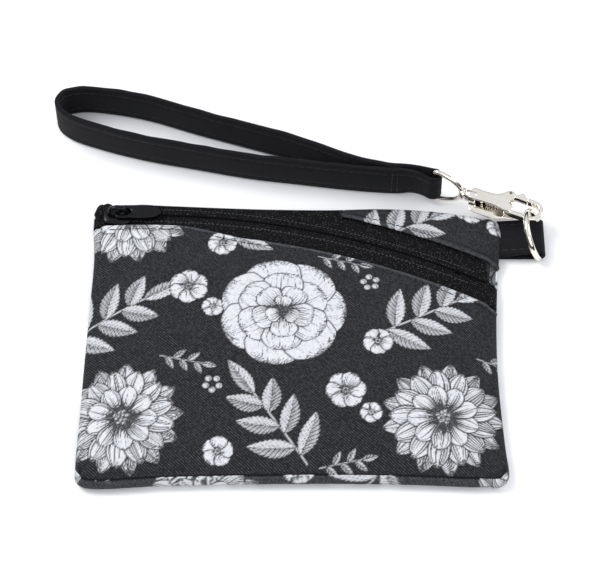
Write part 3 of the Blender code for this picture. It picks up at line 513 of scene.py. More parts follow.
def daisy(ink, centre, size, turn):
    """A flower of pointed petals in even rings round a dark eye with pale dots."""
    rings = ((13, 1.0, 0.32, 1.3, 0.86), (13, 0.88, 0.34, 1.2, 0.96), (9, 0.6, 0.3, 0.9, 0.96))
    for ring, (count, reach, wide, dark, tone) in enumerate(rings):
        for k in range(count):
            petal(ink, centre, turn + 13.8 * ring + 360.0 * k / count, size * reach, size * wide,
                  lines=8, wide=1.7, shade=dark, point=0.75, tone=tone, edge_lines=0.1, heavy=1.8)
    for k in range(12):
        berry(ink, centre + size * 0.035 * math.sqrt(k) * heading_vector(GOLDEN * k), size * 0.028)


def filling(ink, centre, lean):
    """What lies between the large flowers: a branch, three blossoms, a sprig and a few berries."""
    spray(ink, centre + (-3.0, 0.0), lean, 33.0)
    sprig(ink, centre + (11.0, -16.0), 0.25 * lean - 20.0, 13.0)
    blossom(ink, centre + (19.0, 9.0), 6.2, 6, lean, lines=9, eye=0.2)
    blossom(ink, centre + (-19.0, -11.0), 4.6, 5, lean + 30.0, lines=7, eye=0.22)
    blossom(ink, centre + (26.5, 1.5), 3.4, 5, lean, lines=5, eye=0.25)
    for k in range(5):
        berry(ink, centre + (-21.0, 11.0) + 2.1 * heading_vector(lean + 72.0 * k), 0.9)


def floral(ink, shift):
    """The cloth's print: large flowers in a half-drop repeat, two kinds in alternate columns."""
    cells = [(column, row) for column in range(-3, 4) for row in range(-2, 3)]
    centres = [shift + np.array([COLUMN * c, REPEAT * (r + 0.5 * (c % 2))]) for c, r in cells]
    for (column, row), centre in zip(cells, centres):
        filling(ink, centre + (0.0, 0.5 * REPEAT), 28.0 + 97.0 * ((column + row) % 2))
    for (column, row), centre in zip(cells, centres):
        turn = GOLDEN * (3 * column + row)
        if column % 2:
            daisy(ink, centre, 18.5, turn)
        else:
            rose(ink, centre, 19.5, turn)


def front_print(ink):
    """The cut of the cloth that makes the panel below the zip."""
    floral(ink, np.array([-4.0, 9.0]))


def upper_print(ink):
    """The cut that makes the panel above the zip."""
    floral(ink, np.array([37.0, 4.0]))


def back_print(ink):
    """The cut that makes the back, and the roll of it that shows along the bottom edge."""
    floral(ink, np.array([20.0, -5.0]))


# ---------------------------------------------------------------- meshes


def mesh_piece(name, verts, faces, material, body="pouch"):
    """A piece from millimetre points that rides on a body."""
    mesh = bpy.data.meshes.new(name)
    mesh.from_pydata((np.asarray(verts, float) * MM).tolist(), [], faces)
    mesh.materials.append(material)
    mesh.shade_smooth()
    item = bpy.data.objects.new(name, mesh)
    bpy.context.collection.objects.link(item)
    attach(item, body)
    return item


def grid_quads(rows, cols, wrap_rows=False, wrap_cols=False, start=0):
    """Quads of a grid of points, which may close on itself."""
    i = np.arange(rows if wrap_rows else rows - 1)[:, None]
    j = np.arange(cols if wrap_cols else cols - 1)[None, :]
    a = start + i * cols + j
    b = start + ((i + 1) % rows) * cols + j
    c = start + ((i + 1) % rows) * cols + (j + 1) % cols
    d = start + i * cols + (j + 1) % cols
    return np.stack([a, b, c, d], axis=-1).reshape(-1, 4).tolist()


def end_caps(rows, cols, start=0):
    """Faces that close the first and the last ring of a grid."""
    last = start + (rows - 1) * cols
    return [list(range(start, start + cols))[::-1], list(range(last, last + cols))]


def plain_grid(name, points, material):
    """A piece from an open grid of points."""
    rows, cols = points.shape[:2]
    return mesh_piece(name, points.reshape(-1, 3), grid_quads(rows, cols), material)


def set_float(item, name, values):
    """A number for each vertex, which a material can read."""
    attribute = item.data.attributes.new(name, "FLOAT", "POINT")
    attribute.data.foreach_set("value", np.asarray(values, np.float32))


def inked(points, draw):
    """The print at plan points."""
    ink = Ink(points)
    draw(ink)
    return ink.value


def face_up(item):
    """Turns every face of a piece to the side that most of them should show."""
    bm = bmesh.new()
    bm.from_mesh(item.data)
    bmesh.ops.recalc_face_normals(bm, faces=bm.faces)
    bm.to_mesh(item.data)
    bm.free()


def cloth_panel(name, points, material, draw, node):
    """A printed front panel from a grid of points."""
    item = plain_grid(name, points, material)
    flat = points.reshape(-1, 3)[:, :2]
    set_float(item, "ink", inked(flat, draw))
    # Painted light: a painted highlight on the fold ridges, and painted shade in the stitch line and the
    # bottom crease.
    set_float(item, "painted_light", fold_painted_light(flat) - bottom_crease_shade(flat))
    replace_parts(item, node)
    return item


def fold_painted_light(plan):
    """Painted light on folded cloth: a painted highlight on the ridge beside the zip, and painted shade in
    the stitch line.
    """
    below = np.abs(from_arc(plan)) - fold_from_zip(plan)
    ridge = np.exp(-(((below - 0.25) / 0.75) ** 2)) * np.where(from_arc(plan) > 0, 0.55, 1.0)
    return ridge - 0.8 * np.exp(-(((below - STITCH_IN) / 0.35) ** 2))


def near_roll(plan):
    """1 along the bottom edge, where the back rolls over to the front, and 0 elsewhere."""
    return np.clip((ROLL_FROM - plan[:, 1]) / 4.0, 0, 1)


def bottom_crease_shade(plan):
    """Painted shade where the front meets the rolled edge of the back along the bottom: 1 in the crease."""
    depth = edge_distance(plan)[0]
    return 1.2 * near_roll(plan) * np.exp(-(((depth - CREASE_IN) / 0.4) ** 2))


def lower_panel(material, step):
    """The printed front below the zip."""
    curve = inset_outline(1.0)
    low_left = nearest_index(curve, (-64.4, -48.0))
    low_right = nearest_index(curve, (62.2, -47.8))
    us = spread(127.0, step, CURL, CURL)
    vs = spread(86.0, step, [0.0, 0.15, 0.35, 0.7, 1.1], [0.0])
    fold = FOLD + FOLD_ROUND
    right = stretch(curve, low_right, crossing(curve, -fold, True), vs)
    left_end = crossing(curve, -FOLD_LEFT_END - FOLD_ROUND, False)
    left = stretch(curve, low_left, left_end, vs, forward=False)
    bottom = stretch(curve, low_left, low_right, us)
    top = lower_fold_row(left[-1], right[-1], FOLD_ROUND, us)
    plan = coons(bottom, top, left, right, us, vs)
    points = fold_over(turned(plan, front_height), 1)
    points = tuck(tuck(tuck(points, 0, False), 0, True), 1, False)
    return cloth_panel("front_lower_cloth", points, material, front_print, "outer_front_lower")


def upper_panel(material, step):
    """The printed front above the zip, a sliver that widens to the right."""
    curve = inset_outline(1.0)
    fold = FOLD + FOLD_ROUND
    us = spread(53.0, step, [0.0], CURL)
    vs = spread(16.0, step, CURL, [0.0])
    first = arc_point(ARC_R + fold, UPPER_START_ANGLE + 0.6)
    corner = nearest_index(curve, (64.4, 44.6))
    right = stretch(curve, crossing(curve, fold, True), corner, 1 - vs[::-1])[::-1]
    top = stretch(curve, nearest_index(curve, (first[0] + 0.4, 50.0)), corner, us, forward=False)
    bottom = arc_row(fold, first, right[-1], us)
    left = top[0] + (first - top[0]) * np.asarray(vs)[:, None]
    plan = coons(top, bottom, left, right, us, vs)
    points = fold_over(turned(plan, front_height), -1)
    points = tuck(tuck(points, 0, True), 1, False)
    return cloth_panel("front_upper_cloth", points, material, upper_print, "outer_front_upper")


def back_roll(curve, normal, shares):
    """Rows of the back's turned-up edge, and the same rows laid flat for the print."""
    end = split_angle(curve)
    rows, flat_rows = [], []
    for share in shares:
        angle = -math.pi / 2 + (end + math.pi / 2) * share
        inset = EDGE_R * (1 - np.cos(angle))
        rows.append(np.column_stack([curve + normal * inset[:, None], EDGE_R * (1 + np.sin(angle))]))
        flat_rows.append(curve + normal * (EDGE_R - EDGE_R * (angle + math.pi / 2))[:, None])
    last = rows[-1].copy()
    last[:, :2] += normal * 0.7
    return rows + [last], flat_rows + [flat_rows[-1]]


def back_flat(inner, us, vs):
    """The flat part of the back, inside its rolled edge."""
    places = ((-62.0, -45.8), (60.2, -45.6), (61.5, 42.5), (-61.0, 48.6))
    low_left, low_right, high_right, high_left = (nearest_index(inner, p) for p in places)
    bottom = stretch(inner, low_left, low_right, us)
    right = stretch(inner, low_right, high_right, vs)
    top = stretch(inner, high_left, high_right, us, forward=False)
    left = stretch(inner, low_left, high_left, vs, forward=False)
    return coons(bottom, top, left, right, us, vs).reshape(-1, 2)


def roll_painted_light(plan, roll):
    """The roll along the bottom gets a painted highlight, and painted shade where it ends at the seam."""
    pale = 0.55 * np.clip(roll * 3 - 0.6, 0, 1)
    return near_roll(plan) * (pale - 1.6 * np.clip((roll - 0.93) / 0.07, 0, 1))


def back_panel(material, step):
    """The back: a flat panel and a turned-up edge that rolls over along the bottom."""
    curve = centripetal(OUTLINE, 40)
    normal = inward(curve)
    shares = np.linspace(0, 1, 26)
    rows, flat_rows = back_roll(curve, normal, shares)
    verts, plan = np.concatenate(rows), np.concatenate(flat_rows)
    faces = grid_quads(len(rows), len(curve), wrap_cols=True)
    us, vs = spread(124.0, step, [0.0], [0.0]), spread(94.0, step, [0.0], [0.0])
    flat = back_flat(curve + normal * EDGE_R, us, vs)
    faces += grid_quads(len(us), len(vs), start=len(verts))
    verts = np.concatenate([verts, np.column_stack([flat, np.zeros(len(flat))])])
    item = mesh_piece("back_cloth", verts, faces, material)
    set_float(item, "ink", inked(np.concatenate([plan, flat]), back_print))
    # Painted highlight on the bottom roll and painted shade where it ends at the seam; none on the flat back.
    painted_light = roll_painted_light(plan, np.repeat(np.append(shares, 1.1), len(curve)))
    set_float(item, "painted_light", np.concatenate([painted_light, np.zeros(len(flat))]))
    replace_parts(item, "outer_back")
    return item


def lining_height(plan, depth):
    """Height of the front lining, under the cloth and the zip tape."""
    below = np.abs(from_arc(plan)) - FOLD - 2.5
    return LINING_Z + 0.95 * rise(depth, below) * (from_arc(plan) < 0)


def back_lining_height(_, depth):
    """The back lining lies flat on the back."""
    return np.full(depth.shape, BACK_LINING_Z)


def lining_piece(name, sides, us, vs, height_at, material, node):
    """A plain sheet of lining between four plan curves: bottom, top, left and right."""
    plan = coons(*sides, us, vs)
    height = height_at(plan, edge_distance(plan)[0])
    item = plain_grid(name, np.concatenate([plan, height[..., None]], axis=2), material)
    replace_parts(item, node)
    return item


def linings(material):
    """The plain cotton behind the front pieces and inside the back."""
    inner = FINE + inward(FINE) * LINING_IN
    us, vs = np.linspace(0, 1, 90), np.linspace(0, 1, 60)
    places = ((-62.0, -45.5), (60.0, -45.5), (61.5, 43.5), (-61.0, 49.0))
    low_left, low_right, high_right, high_left = (nearest_index(inner, p) for p in places)

    bottom = stretch(inner, low_left, low_right, us)
    left = stretch(inner, low_left, crossing(inner, -LINING_OUT, False), vs, forward=False)
    right = stretch(inner, low_right, crossing(inner, -LINING_OUT, True), vs)
    sides = (bottom, arc_row(-LINING_OUT, left[-1], right[-1], us), left, right)
    low = lining_piece("lining_low", sides, us, vs, lining_height, material, "lining_front_lower")

    left = stretch(inner, low_left, high_left, vs, forward=False)
    right = stretch(inner, low_right, high_right, vs)
    sides = (bottom, stretch(inner, high_left, high_right, us, forward=False), left, right)
    rear = lining_piece("lining_rear", sides, us, vs, back_lining_height, material, "lining_back")

    first = arc_point(ARC_R + LINING_OUT, UPPER_START_ANGLE - 1.6)
    right = stretch(inner, crossing(inner, LINING_OUT, True), high_right, vs)
    bottom = arc_row(LINING_OUT, first, right[0], us)
    top = stretch(inner, nearest_index(inner, (first[0] + 0.4, 47.0)), high_right, us, forward=False)
    sides = (bottom, top, bottom[0] + (top[0] - bottom[0]) * vs[:, None], right)
    high = lining_piece("lining_high", sides, us, vs, lining_height, material, "lining_front_upper")
    return low, high, rear


# ---------------------------------------------------------------- zip


def tape_end_reach(sign, right):
    """How far a tape goes out from the zip's centre at one of its ends."""
    if right:
        return TAPE_RIGHT_END
    return TAPE_LEFT_END_LOW if sign < 0 else TAPE_LEFT_END_HIGH


def tape_reach(ray, u, sign):
    """How far a tape goes out from the zip's centre."""
    end = min(u, 1 - u) * TAPE_LENGTH
    narrow = TAPE_LEFT_END_LOW if sign < 0 and u < 0.5 else TAPE_RIGHT_END
    wide = narrow + (TAPE_HALF - narrow) * np.clip((end - 6.5) / 2.5, 0, 1)
    if sign < 0:
        return wide
    along = np.linspace(ARC_R + 2.0, ARC_R + 16.0, 80)
    depth = edge_distance(ARC_CENTRE + ray * along[:, None])[0]
    room = (np.interp(0.0, -depth, along) if depth.min() < 0.0 else along[-1]) - ARC_R
    if math.degrees(math.atan2(ray[1], ray[0])) > UPPER_START_ANGLE + 0.2:
        return room
    return min(wide, room - 4.2)


def tape_height(plan, depth):
    """The tape is flat, with a soft ridge over each coil."""
    out = np.abs(from_arc(plan))
    inside = np.clip((depth - 1.0) / 2.5, 0, 1)
    ridge = 0.24 * np.exp(-(((out - 1.5) / 1.0) ** 2)) - 0.25 * np.exp(-(((out - 0.3) / 0.35) ** 2))
    return TAPE_TOP + ridge * inside


def tape_ends(curve, sign, vs):
    """The arc angles where each length of a tape starts and ends on the pouch's edge."""
    ends = [[], []]
    for v in vs:
        for right in (0, 1):
            offset = HALF_SLOT + (tape_end_reach(sign, right) - HALF_SLOT) * v
            at = crossing(curve, sign * offset, bool(right))
            x, y = stretch(curve, at, at + 1, [0.0])[0] - ARC_CENTRE
            ends[right].append(math.atan2(y, x))
    return ends


def tape_plan(sign, us, vs):
    """A tape's grid in plan."""
    left, right = tape_ends(inset_outline(1.0), sign, vs)
    plan = np.zeros((len(us), len(vs), 2))
    for i, u in enumerate(us):
        middle = left[0] + (right[0] - left[0]) * u
        reach = tape_reach(np.array([math.cos(middle), math.sin(middle)]), u, sign)
        for j, v in enumerate(vs):
            angle = left[j] + (right[j] - left[j]) * u
            radius = ARC_R + sign * (HALF_SLOT + (reach - HALF_SLOT) * v)
            plan[i, j] = (ARC_X + radius * math.cos(angle), ARC_Y + radius * math.sin(angle))
    return plan


def tape(name, sign, material, node):
    """One woven tape, from the zip's centre out under the cloth or over the top edge."""
    us = spread(TAPE_LENGTH, 0.7, CURL, CURL)
    rim = 1 - np.array([0.17, 0.13, 0.1, 0.07, 0.045, 0.025, 0.01, 0.003, 0.0])
    vs = np.concatenate([np.linspace(0, 0.5, 12), np.linspace(0.5, 0.8, 8)[1:], rim])
    points = turned(tape_plan(sign, us, vs), tape_height)
    lip = points[:, :1].copy()
    lip[..., 2] -= 0.7
    points = tuck(tuck(np.concatenate([lip, points], axis=1), 0, False), 0, True)
    item = plain_grid(name, points, material)
    flat = points.reshape(-1, 3)[:, :2]
    set_float(item, "along", np.radians(arc_angle(flat)) * ARC_R)
    set_float(item, "across", from_arc(flat))
    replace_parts(item, node)


def bead(a, b, wide, tall, rings, sides):
    """Points of one rounded thread from a to b."""
    along = (b - a) / np.linalg.norm(b - a)
    side = np.cross(along, (0, 0, 1.0))
    if np.linalg.norm(side) < 0.2:
        side = np.cross(along, (0, 1.0, 0))
    side /= np.linalg.norm(side)
    top = np.cross(side, along)
    points = []
    for k in range(rings):
        share = k / (rings - 1)
        size = math.sin(math.pi * (0.12 + 0.76 * share)) ** 0.6
        for n in range(sides):
            angle = 2 * math.pi * n / sides
            out = side * wide * math.cos(angle) + top * tall * math.sin(angle)
            points.append(a + (b - a) * share + out * size)
    return points


def beads(name, starts, ends, wide, tall, material, body="pouch"):
    """Short rounded threads, one from each start to its end point."""
    rings, sides = 5, 8
    verts, faces = [], []
    for a, b in zip(np.asarray(starts, float), np.asarray(ends, float)):
        faces += grid_quads(rings, sides, wrap_cols=True, start=len(verts))
        faces += end_caps(rings, sides, len(verts))
        verts += bead(a, b, wide, tall, rings, sides)
    return mesh_piece(name, verts, faces, material, body)


def run_length(points):
    """The length along a curve, up to each of its points."""
    return np.concatenate([[0], np.cumsum(np.linalg.norm(np.diff(points, axis=0), axis=1))])


def along_path(points, pitch, length):
    """Start and end points of stitches along a path."""
    points = np.asarray(points, float)
    run = run_length(points)
    at = np.arange(0.2, run[-1] - length, pitch)

    def place(s):
        return np.column_stack([np.interp(s, run, points[:, k]) for k in range(3)])

    return place(at), place(at + length)


def surface_line(offset, first, last, height_at, lift, from_fold=False):
    """Points just above a surface, on the zip arc or the lower fold moved by offset."""
    plan = np.array([arc_point(ARC_R - 1, a) for a in np.linspace(first, last, 240)])
    reach = offset - fold_from_zip(plan) * float(from_fold)
    plan = ARC_CENTRE + arc_rays(plan) * (ARC_R + reach)[:, None]
    depth = edge_distance(plan)[0]
    return np.column_stack([plan, height_at(plan, depth) + lift])


def zip_stitches(thread):
    """The topstitching beside the two folds."""
    lower = surface_line(-STITCH_IN, 92.6, 64.0, front_height, 0.05, True)
    item = beads("zip_topstitch_lower", *along_path(lower, 2.6, 2.1), 0.2, 0.14, thread)
    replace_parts(item, "topstitch_lower")
    upper = surface_line(FOLD + STITCH_IN - 0.2, 73.6, 65.2, front_height, 0.05)
    item = beads("zip_topstitch_upper", *along_path(upper, 2.6, 2.1), 0.2, 0.14, thread)
    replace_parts(item, "topstitch_upper")


def zip_coils(material):
    """The rows of thread that sew the coils down, and the coils' turns."""
    for name, offset in (("coil_rows_lower", -2.3), ("coil_rows_upper", 2.3)):
        row = surface_line(offset, 92.4, 64.2, tape_height, 0.0)
        beads(name, *along_path(row, COIL_PITCH, 0.8), 0.17, 0.12, material)
    step = math.degrees(COIL_PITCH / ARC_R)
    for name, sign, node in (("coil_lower", -1, "zip_coil_lower"), ("coil_upper", 1, "zip_coil_upper")):
        starts, ends = [], []
        for k in range(int((COIL_START - COIL_END) / step)):
            angle = COIL_START - (k + (0.5 if sign > 0 else 0.0)) * step
            starts.append((*arc_point(ARC_R + sign * 2.5, angle), 3.4))
            ends.append((*arc_point(ARC_R - sign * 0.25, angle), 3.4))
        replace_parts(beads(name, starts, ends, 0.3, 0.5, material), node)


# ---------------------------------------------------------------- tubes and metal


def sweep(name, path, section, material, body, closed=True, up=(0, 0, 1.0)):
    """A section swept along a path; the section is points of side and top."""
    path = np.asarray(path, float)
    if closed:
        along = np.roll(path, -1, axis=0) - np.roll(path, 1, axis=0)
    else:
        along = np.gradient(path, axis=0)
    along = along / np.linalg.norm(along, axis=1)[:, None]
    side = np.cross(along, np.asarray(up, float))
    side /= np.linalg.norm(side, axis=1)[:, None]
    top = np.cross(side, along)
    section = np.asarray(section, float)
    verts = path[:, None, :] + side[:, None, :] * section[None, :, :1]
    verts = verts + top[:, None, :] * section[None, :, 1:]
    rows, cols = len(path), len(section)
    faces = grid_quads(rows, cols, wrap_rows=closed, wrap_cols=True)
    if not closed:
        faces += end_caps(rows, cols)
    item = mesh_piece(name, verts.reshape(-1, 3), faces, material, body)
    face_up(item)
    return item


def oval(wide, tall, sides=20):
    """An elliptical section."""
    turn = [2 * math.pi * k / sides for k in range(sides)]
    return [(wide * math.cos(a), tall * math.sin(a)) for a in turn]


def tab_ring(material):
    """The D-ring in the side tab, leaning over the pouch."""
    lean = np.array([-math.sin(RING_LEAN), 0.0, math.cos(RING_LEAN)])
    corner = [(RING_HALF - 1.3, 0.05), (RING_HALF - 0.35, 0.45), (RING_HALF, 1.5)]
    points = [(-5.0, 0.0), (-1.5, 0.0), (1.5, 0.0), (5.0, 0.0)] + corner
    for k in range(13):
        angle = math.pi * k / 12
        points.append((RING_HALF * math.cos(angle), RING_STRAIGHT + RING_HALF * math.sin(angle)))
    points += [(-x, y) for x, y in reversed(corner)]
    path = [RING_BAR + np.array([0.0, v, 0.0]) + lean * h for v, h in centripetal(points, 7)]
    up = np.cross(lean, (0.0, 1.0, 0.0))
    item = sweep("tab_d_ring", path, oval(0.82, 0.95), material, "ring", up=up)
    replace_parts(item, "tab_ring")


def hook_xyz(s, t, z):
    """A point from distances along, left of and above the hook's centre."""
    plan = HOOK_AT[:2] + HOOK_ALONG * s + HOOK_LEFT * t
    return np.array([plan[0], plan[1], HOOK_AT[2] + z])


def turned_piece(name, profile, material, body, sides=28):
    """A round piece on the swivel's axis, from distances along it and radii."""
    along = np.array([HOOK_ALONG[0], HOOK_ALONG[1], 0.0])
    left = np.array([HOOK_LEFT[0], HOOK_LEFT[1], 0.0])
    verts = []
    for s, r in profile:
        for k in range(sides):
            a = 2 * math.pi * k / sides
            out = left * math.cos(a) + np.array([0, 0, math.sin(a)])
            verts.append(HOOK_AT + along * s + out * r)
    rows = len(profile)
    faces = grid_quads(rows, sides, wrap_cols=True)
    faces += end_caps(rows, sides)
    item = mesh_piece(name, verts, faces, material, body)
    face_up(item)
    return item


def swivel_ring(material):
    """The strap's D-ring and the rivet that turns in the hook's neck."""
    points = [(D_BAR, -4.5), (D_BAR, 0.0), (D_BAR, 4.5), (D_BAR + 0.15, 5.9), (D_BAR + 0.9, 6.6)]
    points += [(-7.0, 6.5), (-4.2, 5.5), (-2.2, 4.1), (-0.7, 2.3), (-0.3, 0.8)]
    points += [(s, -z) for s, z in reversed(points[3:])]
    path = [hook_xyz(s, 0.0, z) for s, z in centripetal(points, 7)]
    up = np.array([HOOK_LEFT[0], HOOK_LEFT[1], 0.0])
    ring = sweep("strap_d_ring", path, oval(0.85, 0.8), material, "eye", up=up)
    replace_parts(ring, "swivel_eye")
    profile = [(-0.6, 0.6), (-0.55, 1.6), (-0.3, 1.95), (0.7, 2.0), (0.95, 1.8), (1.0, 0.65)]
    profile += [(6.3, 0.65), (6.32, 0.95), (6.4, 1.05), (7.2, 1.03), (7.3, 0.7)]
    turned_piece("swivel_rivet", profile, material, "eye")


def hook_plate(name, outline, low, high, material, body="hook", rounding=0.25):
    """A plate in the hook's own plan, with rounded edges; heights are from its middle."""
    curve = centripetal(outline, 8)
    normal = inward(curve)
    loops = []
    for inset, up in ((1.0, 0.0), (0.3, 0.3), (0.0, 1.0)):
        loops.append([hook_xyz(*p, low + up * rounding) for p in curve + normal * inset * rounding])
    for inset, down in ((0.0, 1.0), (0.3, 0.3), (1.0, 0.0)):
        loops.append([hook_xyz(*p, high - down * rounding) for p in curve + normal * inset * rounding])
    count = len(curve)
    faces = grid_quads(len(loops), count, wrap_cols=True)
    faces += end_caps(len(loops), count)
    item = mesh_piece(name, np.array(loops).reshape(-1, 3), faces, material, body)
    face_up(item)
    item.data.set_sharp_from_angle(angle=math.radians(50))
    return item


def soft_bar(wide, tall, power=0.45, sides=24):
    """A rounded rectangular section."""
    turn = 2 * math.pi * (np.arange(sides) + 0.5) / sides
    square = [np.sign(wave) * np.abs(wave) ** power for wave in (np.cos(turn), np.sin(turn))]
    return np.column_stack([wide * square[0], tall * square[1]])


def around(centre, radius, count=12):
    """Points of a circle in the hook's plan."""
    turn = np.linspace(0, 2 * math.pi, count, endpoint=False)
    return [(centre[0] + radius * math.cos(a), centre[1] + radius * math.sin(a)) for a in turn]


def clasp_body(material, dark):
    """The hook's barrel, its open-fronted channel with a spring in it, and its round nose."""
    top = [
        (3.0, -1.5), (7.0, -1.5), (11.0, -1.5), (15.0, -2.1), (16.9, -1.6), (16.6, 0.4), (15.4, 1.4),
        (16.2, 3.2), (16.3, 4.6), (15.4, 5.6), (13.9, 5.5), (12.4, 4.1), (10.6, 2.9), (7.0, 2.5),
        (3.0, 2.3), (2.5, 0.4),
    ]
    low = [
        (3.2, -3.0), (4.6, -4.2), (8.0, -4.5), (12.0, -4.3), (15.4, -3.1), (17.8, -2.0), (16.4, -0.8),
        (15.3, 1.0), (16.2, 4.8), (14.0, 5.4), (10.6, 2.9), (7.0, 2.5), (3.2, 2.2),
    ]
    web = [
        (3.2, 1.5), (9.0, 1.6), (12.6, 2.0), (12.4, -1.3), (13.4, -1.6), (15.4, -1.5), (15.2, 1.0),
        (14.9, 3.0), (13.0, 3.2), (10.6, 2.6), (3.2, 2.2),
    ]
    plate = hook_plate("hook_top", top, 1.0, 1.8, material)
    hook_plate("hook_low", low, -1.78, -1.3, material, rounding=0.15)
    # The web inside the channel gets the darker nickel, as painted shade.
    hook_plate("hook_web", web, -1.4, 1.2, dark, rounding=0.1)
    nose = [(14.6, -1.55), (17.0, -1.55), (20.0, -1.55)]
    turn = np.linspace(-math.pi / 2, math.pi / 2, 12)
    nose += [(22.5 + 3.15 * math.cos(a), 1.6 + 3.15 * math.sin(a)) for a in turn]
    nose += [(21.4, 4.75), (20.6, 4.75)]
    path = smooth_open([hook_xyz(a, b, 0) for a, b in nose], 5)
    sweep("hook_nose", path, soft_bar(0.75, 1.2), material, "hook", closed=False)
    barrel = [(1.3, 1.0), (1.3, 1.7), (1.5, 1.95), (4.6, 1.95), (4.9, 1.7), (4.9, 1.0), (1.3, 1.0)]
    turned_piece("hook_barrel", barrel, material, "hook")
    spring = []
    for k in range(70):
        spring.append(hook_xyz(8.2 + 0.06 * k, -0.3 + 0.75 * math.cos(0.7 * k), 0.75 * math.sin(0.7 * k)))
    sweep("hook_spring", spring, oval(0.16, 0.16, 8), material, "hook", closed=False)
    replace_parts(plate, "hook_body")


def clasp_gate(material, dark):
    """The lever that closes the hook, and the pin it turns on."""
    lever = [
        (14.9, 4.15), (17.0, 4.1), (19.0, 4.05), (20.25, 4.1), (20.25, 5.35), (19.3, 5.5), (18.9, 6.4),
        (17.7, 6.4), (17.2, 5.5), (15.2, 5.3),
    ]
    gate = hook_plate("gate_lever", lever, -1.1, 1.1, material, "gate", 0.2)
    hook_plate("gate_knuckle", around(GATE_PIN, 1.05), -0.6, 0.6, material, "gate", 0.15)
    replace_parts(gate, "hook_gate")
    # The rivet uses the same darker, browner nickel as the hook's inside.
    pin = hook_plate("gate_rivet", around(GATE_PIN, 0.5), -1.85, 1.95, dark, rounding=0.15)
    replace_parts(pin, "gate_pin")


def soften(node, width, material):
    """Rounds the edges of a metal CAD node and gives it a material."""
    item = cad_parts[node]
    bevel = item.modifiers.new("round", "BEVEL")
    bevel.width = width * MM
    bevel.segments = 3
    bevel.limit_method = "ANGLE"
    bevel.angle_limit = math.radians(38)
    bevel.harden_normals = False
    item.data.materials.clear()
    item.data.materials.append(material)


def on_zip(x, y, z):
    """A point from distances forward along the zip and towards the top edge at the slider."""
    angle = math.radians(SLIDER_ANGLE)
    centre = arc_point(ARC_R, SLIDER_ANGLE)
    plan = centre + x * np.array([math.sin(angle), -math.cos(angle)])
    plan = plan + y * np.array([math.cos(angle), math.sin(angle)])
    return np.array([plan[0], plan[1], z])


def dome(name, rim, low, high, bulge, material, body, rings=7):
    """A plate with rounded edges and a domed top, from a rim of plan points on the zip."""
    centre = np.mean(rim, axis=0)
    levels = [(0.94, low), (1.0, low + 0.2), (1.0, high - 0.35), (0.965, high - 0.1), (0.9, high)]
    for k in range(1, rings):
        angle = math.pi * k / 2 / rings
        levels.append((0.9 * math.cos(angle), high + bulge * math.sin(angle)))
    verts = []
    for scale, z in levels:
        verts += [on_zip(*(centre + (p - centre) * scale), z) for p in rim]
    faces = grid_quads(len(levels), len(rim), wrap_cols=True) + end_caps(len(levels), len(rim))
    item = mesh_piece(name, verts, faces, material, body)
    face_up(item)


def zip_slider(material):
    """The slider: two plates, a round arch, and the divider and side walls between the plates."""
    shares = ((-0.5, 0.62), (-0.38, 0.86), (-0.2, 0.95), (0.1, 1.0), (0.3, 0.98), (0.44, 0.82), (0.5, 0.5))
    rim = [(x * 9.0, y * 3.6) for x, y in shares]
    rim = centripetal(rim + [(x, -y) for x, y in reversed(rim)], 4)
    dome("slider_top_plate", rim, 4.82, 5.5, 0.35, material, "slider")
    dome("slider_low_plate", rim, 1.82, 2.3, 0.1, material, "slider")
    rise_of_arch = [(-2.75, 0.05, 6.4), (-2.35, 0.15, 7.6), (-1.2, 0.3, 8.5)]
    path = [(-2.6, 0, 5.2), *rise_of_arch, (0, 0.35, 8.75)]
    path += [(-x, y, z) for x, y, z in reversed(rise_of_arch)] + [(2.6, 0, 5.2)]
    curve = smooth_open([on_zip(*p) for p in path], 6)
    out = on_zip(0, 1, 0) - on_zip(0, 0, 0)
    arch = sweep("slider_arch", curve, oval(0.62, 0.82), material, "slider", closed=False, up=out)
    for k, (y, top) in enumerate(((0, 5.2), (3.2, 3.2), (-3.2, 3.2))):
        wall = [on_zip(x, y, (2.0 + top) / 2) for x in (-2.0, 0.0, 2.0)]
        sweep(f"slider_inner_{k}", wall, oval(0.24, (top - 2.0) / 2, 12), material, "slider", closed=False)
    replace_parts(arch, "zip_slider")


def zip_pull(material):
    """The pull: a thin rounded tab with an eye round the arch."""
    side = [(-0.5, -1.7), (0.2, -2.2), (3.0, -2.3), (6.5, -2.5), (11.4, -2.2), (13.2, -1.6), (13.9, -0.6)]
    outer = centripetal(side + [(x, -y) for x, y in reversed(side)], 5)
    eye = [(0.55, 0), (0.9, -1.05), (2.2, -1.3), (3.7, -1.0), (4.2, 0), (3.7, 1.0), (2.2, 1.3), (0.9, 1.05)]
    centre = np.array([2.3, 0.0])
    rim, hole = by_angle(outer, centre), by_angle(centripetal(eye, 9), centre)
    section = (
        (0.0, 6.55), (0.0, 6.82), (0.08, 6.96), (0.3, 7.02), (0.7, 7.0), (0.92, 6.94), (1.0, 6.8), (1.0, 6.3),
        (0.92, 6.14), (0.5, 6.1), (0.08, 6.14), (0.0, 6.28),
    )
    verts = [on_zip(*(h + (r - h) * share), z) for share, z in section for h, r in zip(hole, rim)]
    item = mesh_piece("pull_tab", verts, grid_quads(len(section), len(rim), True, True), material, "pull")
    face_up(item)
    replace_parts(item, "zip_pull")


def by_angle(curve, centre, count=72):
    """Points where rays from a centre meet a closed curve round it."""
    offset = curve - centre
    angle = np.unwrap(np.arctan2(offset[:, 1], offset[:, 0]))
    reach = np.hypot(offset[:, 0], offset[:, 1])
    order = np.argsort(angle)
    want = np.linspace(0, 2 * math.pi, count, endpoint=False)
    size = np.interp(want, angle[order], reach[order], period=2 * math.pi)
    return centre + np.column_stack([np.cos(want), np.sin(want)]) * size[:, None]


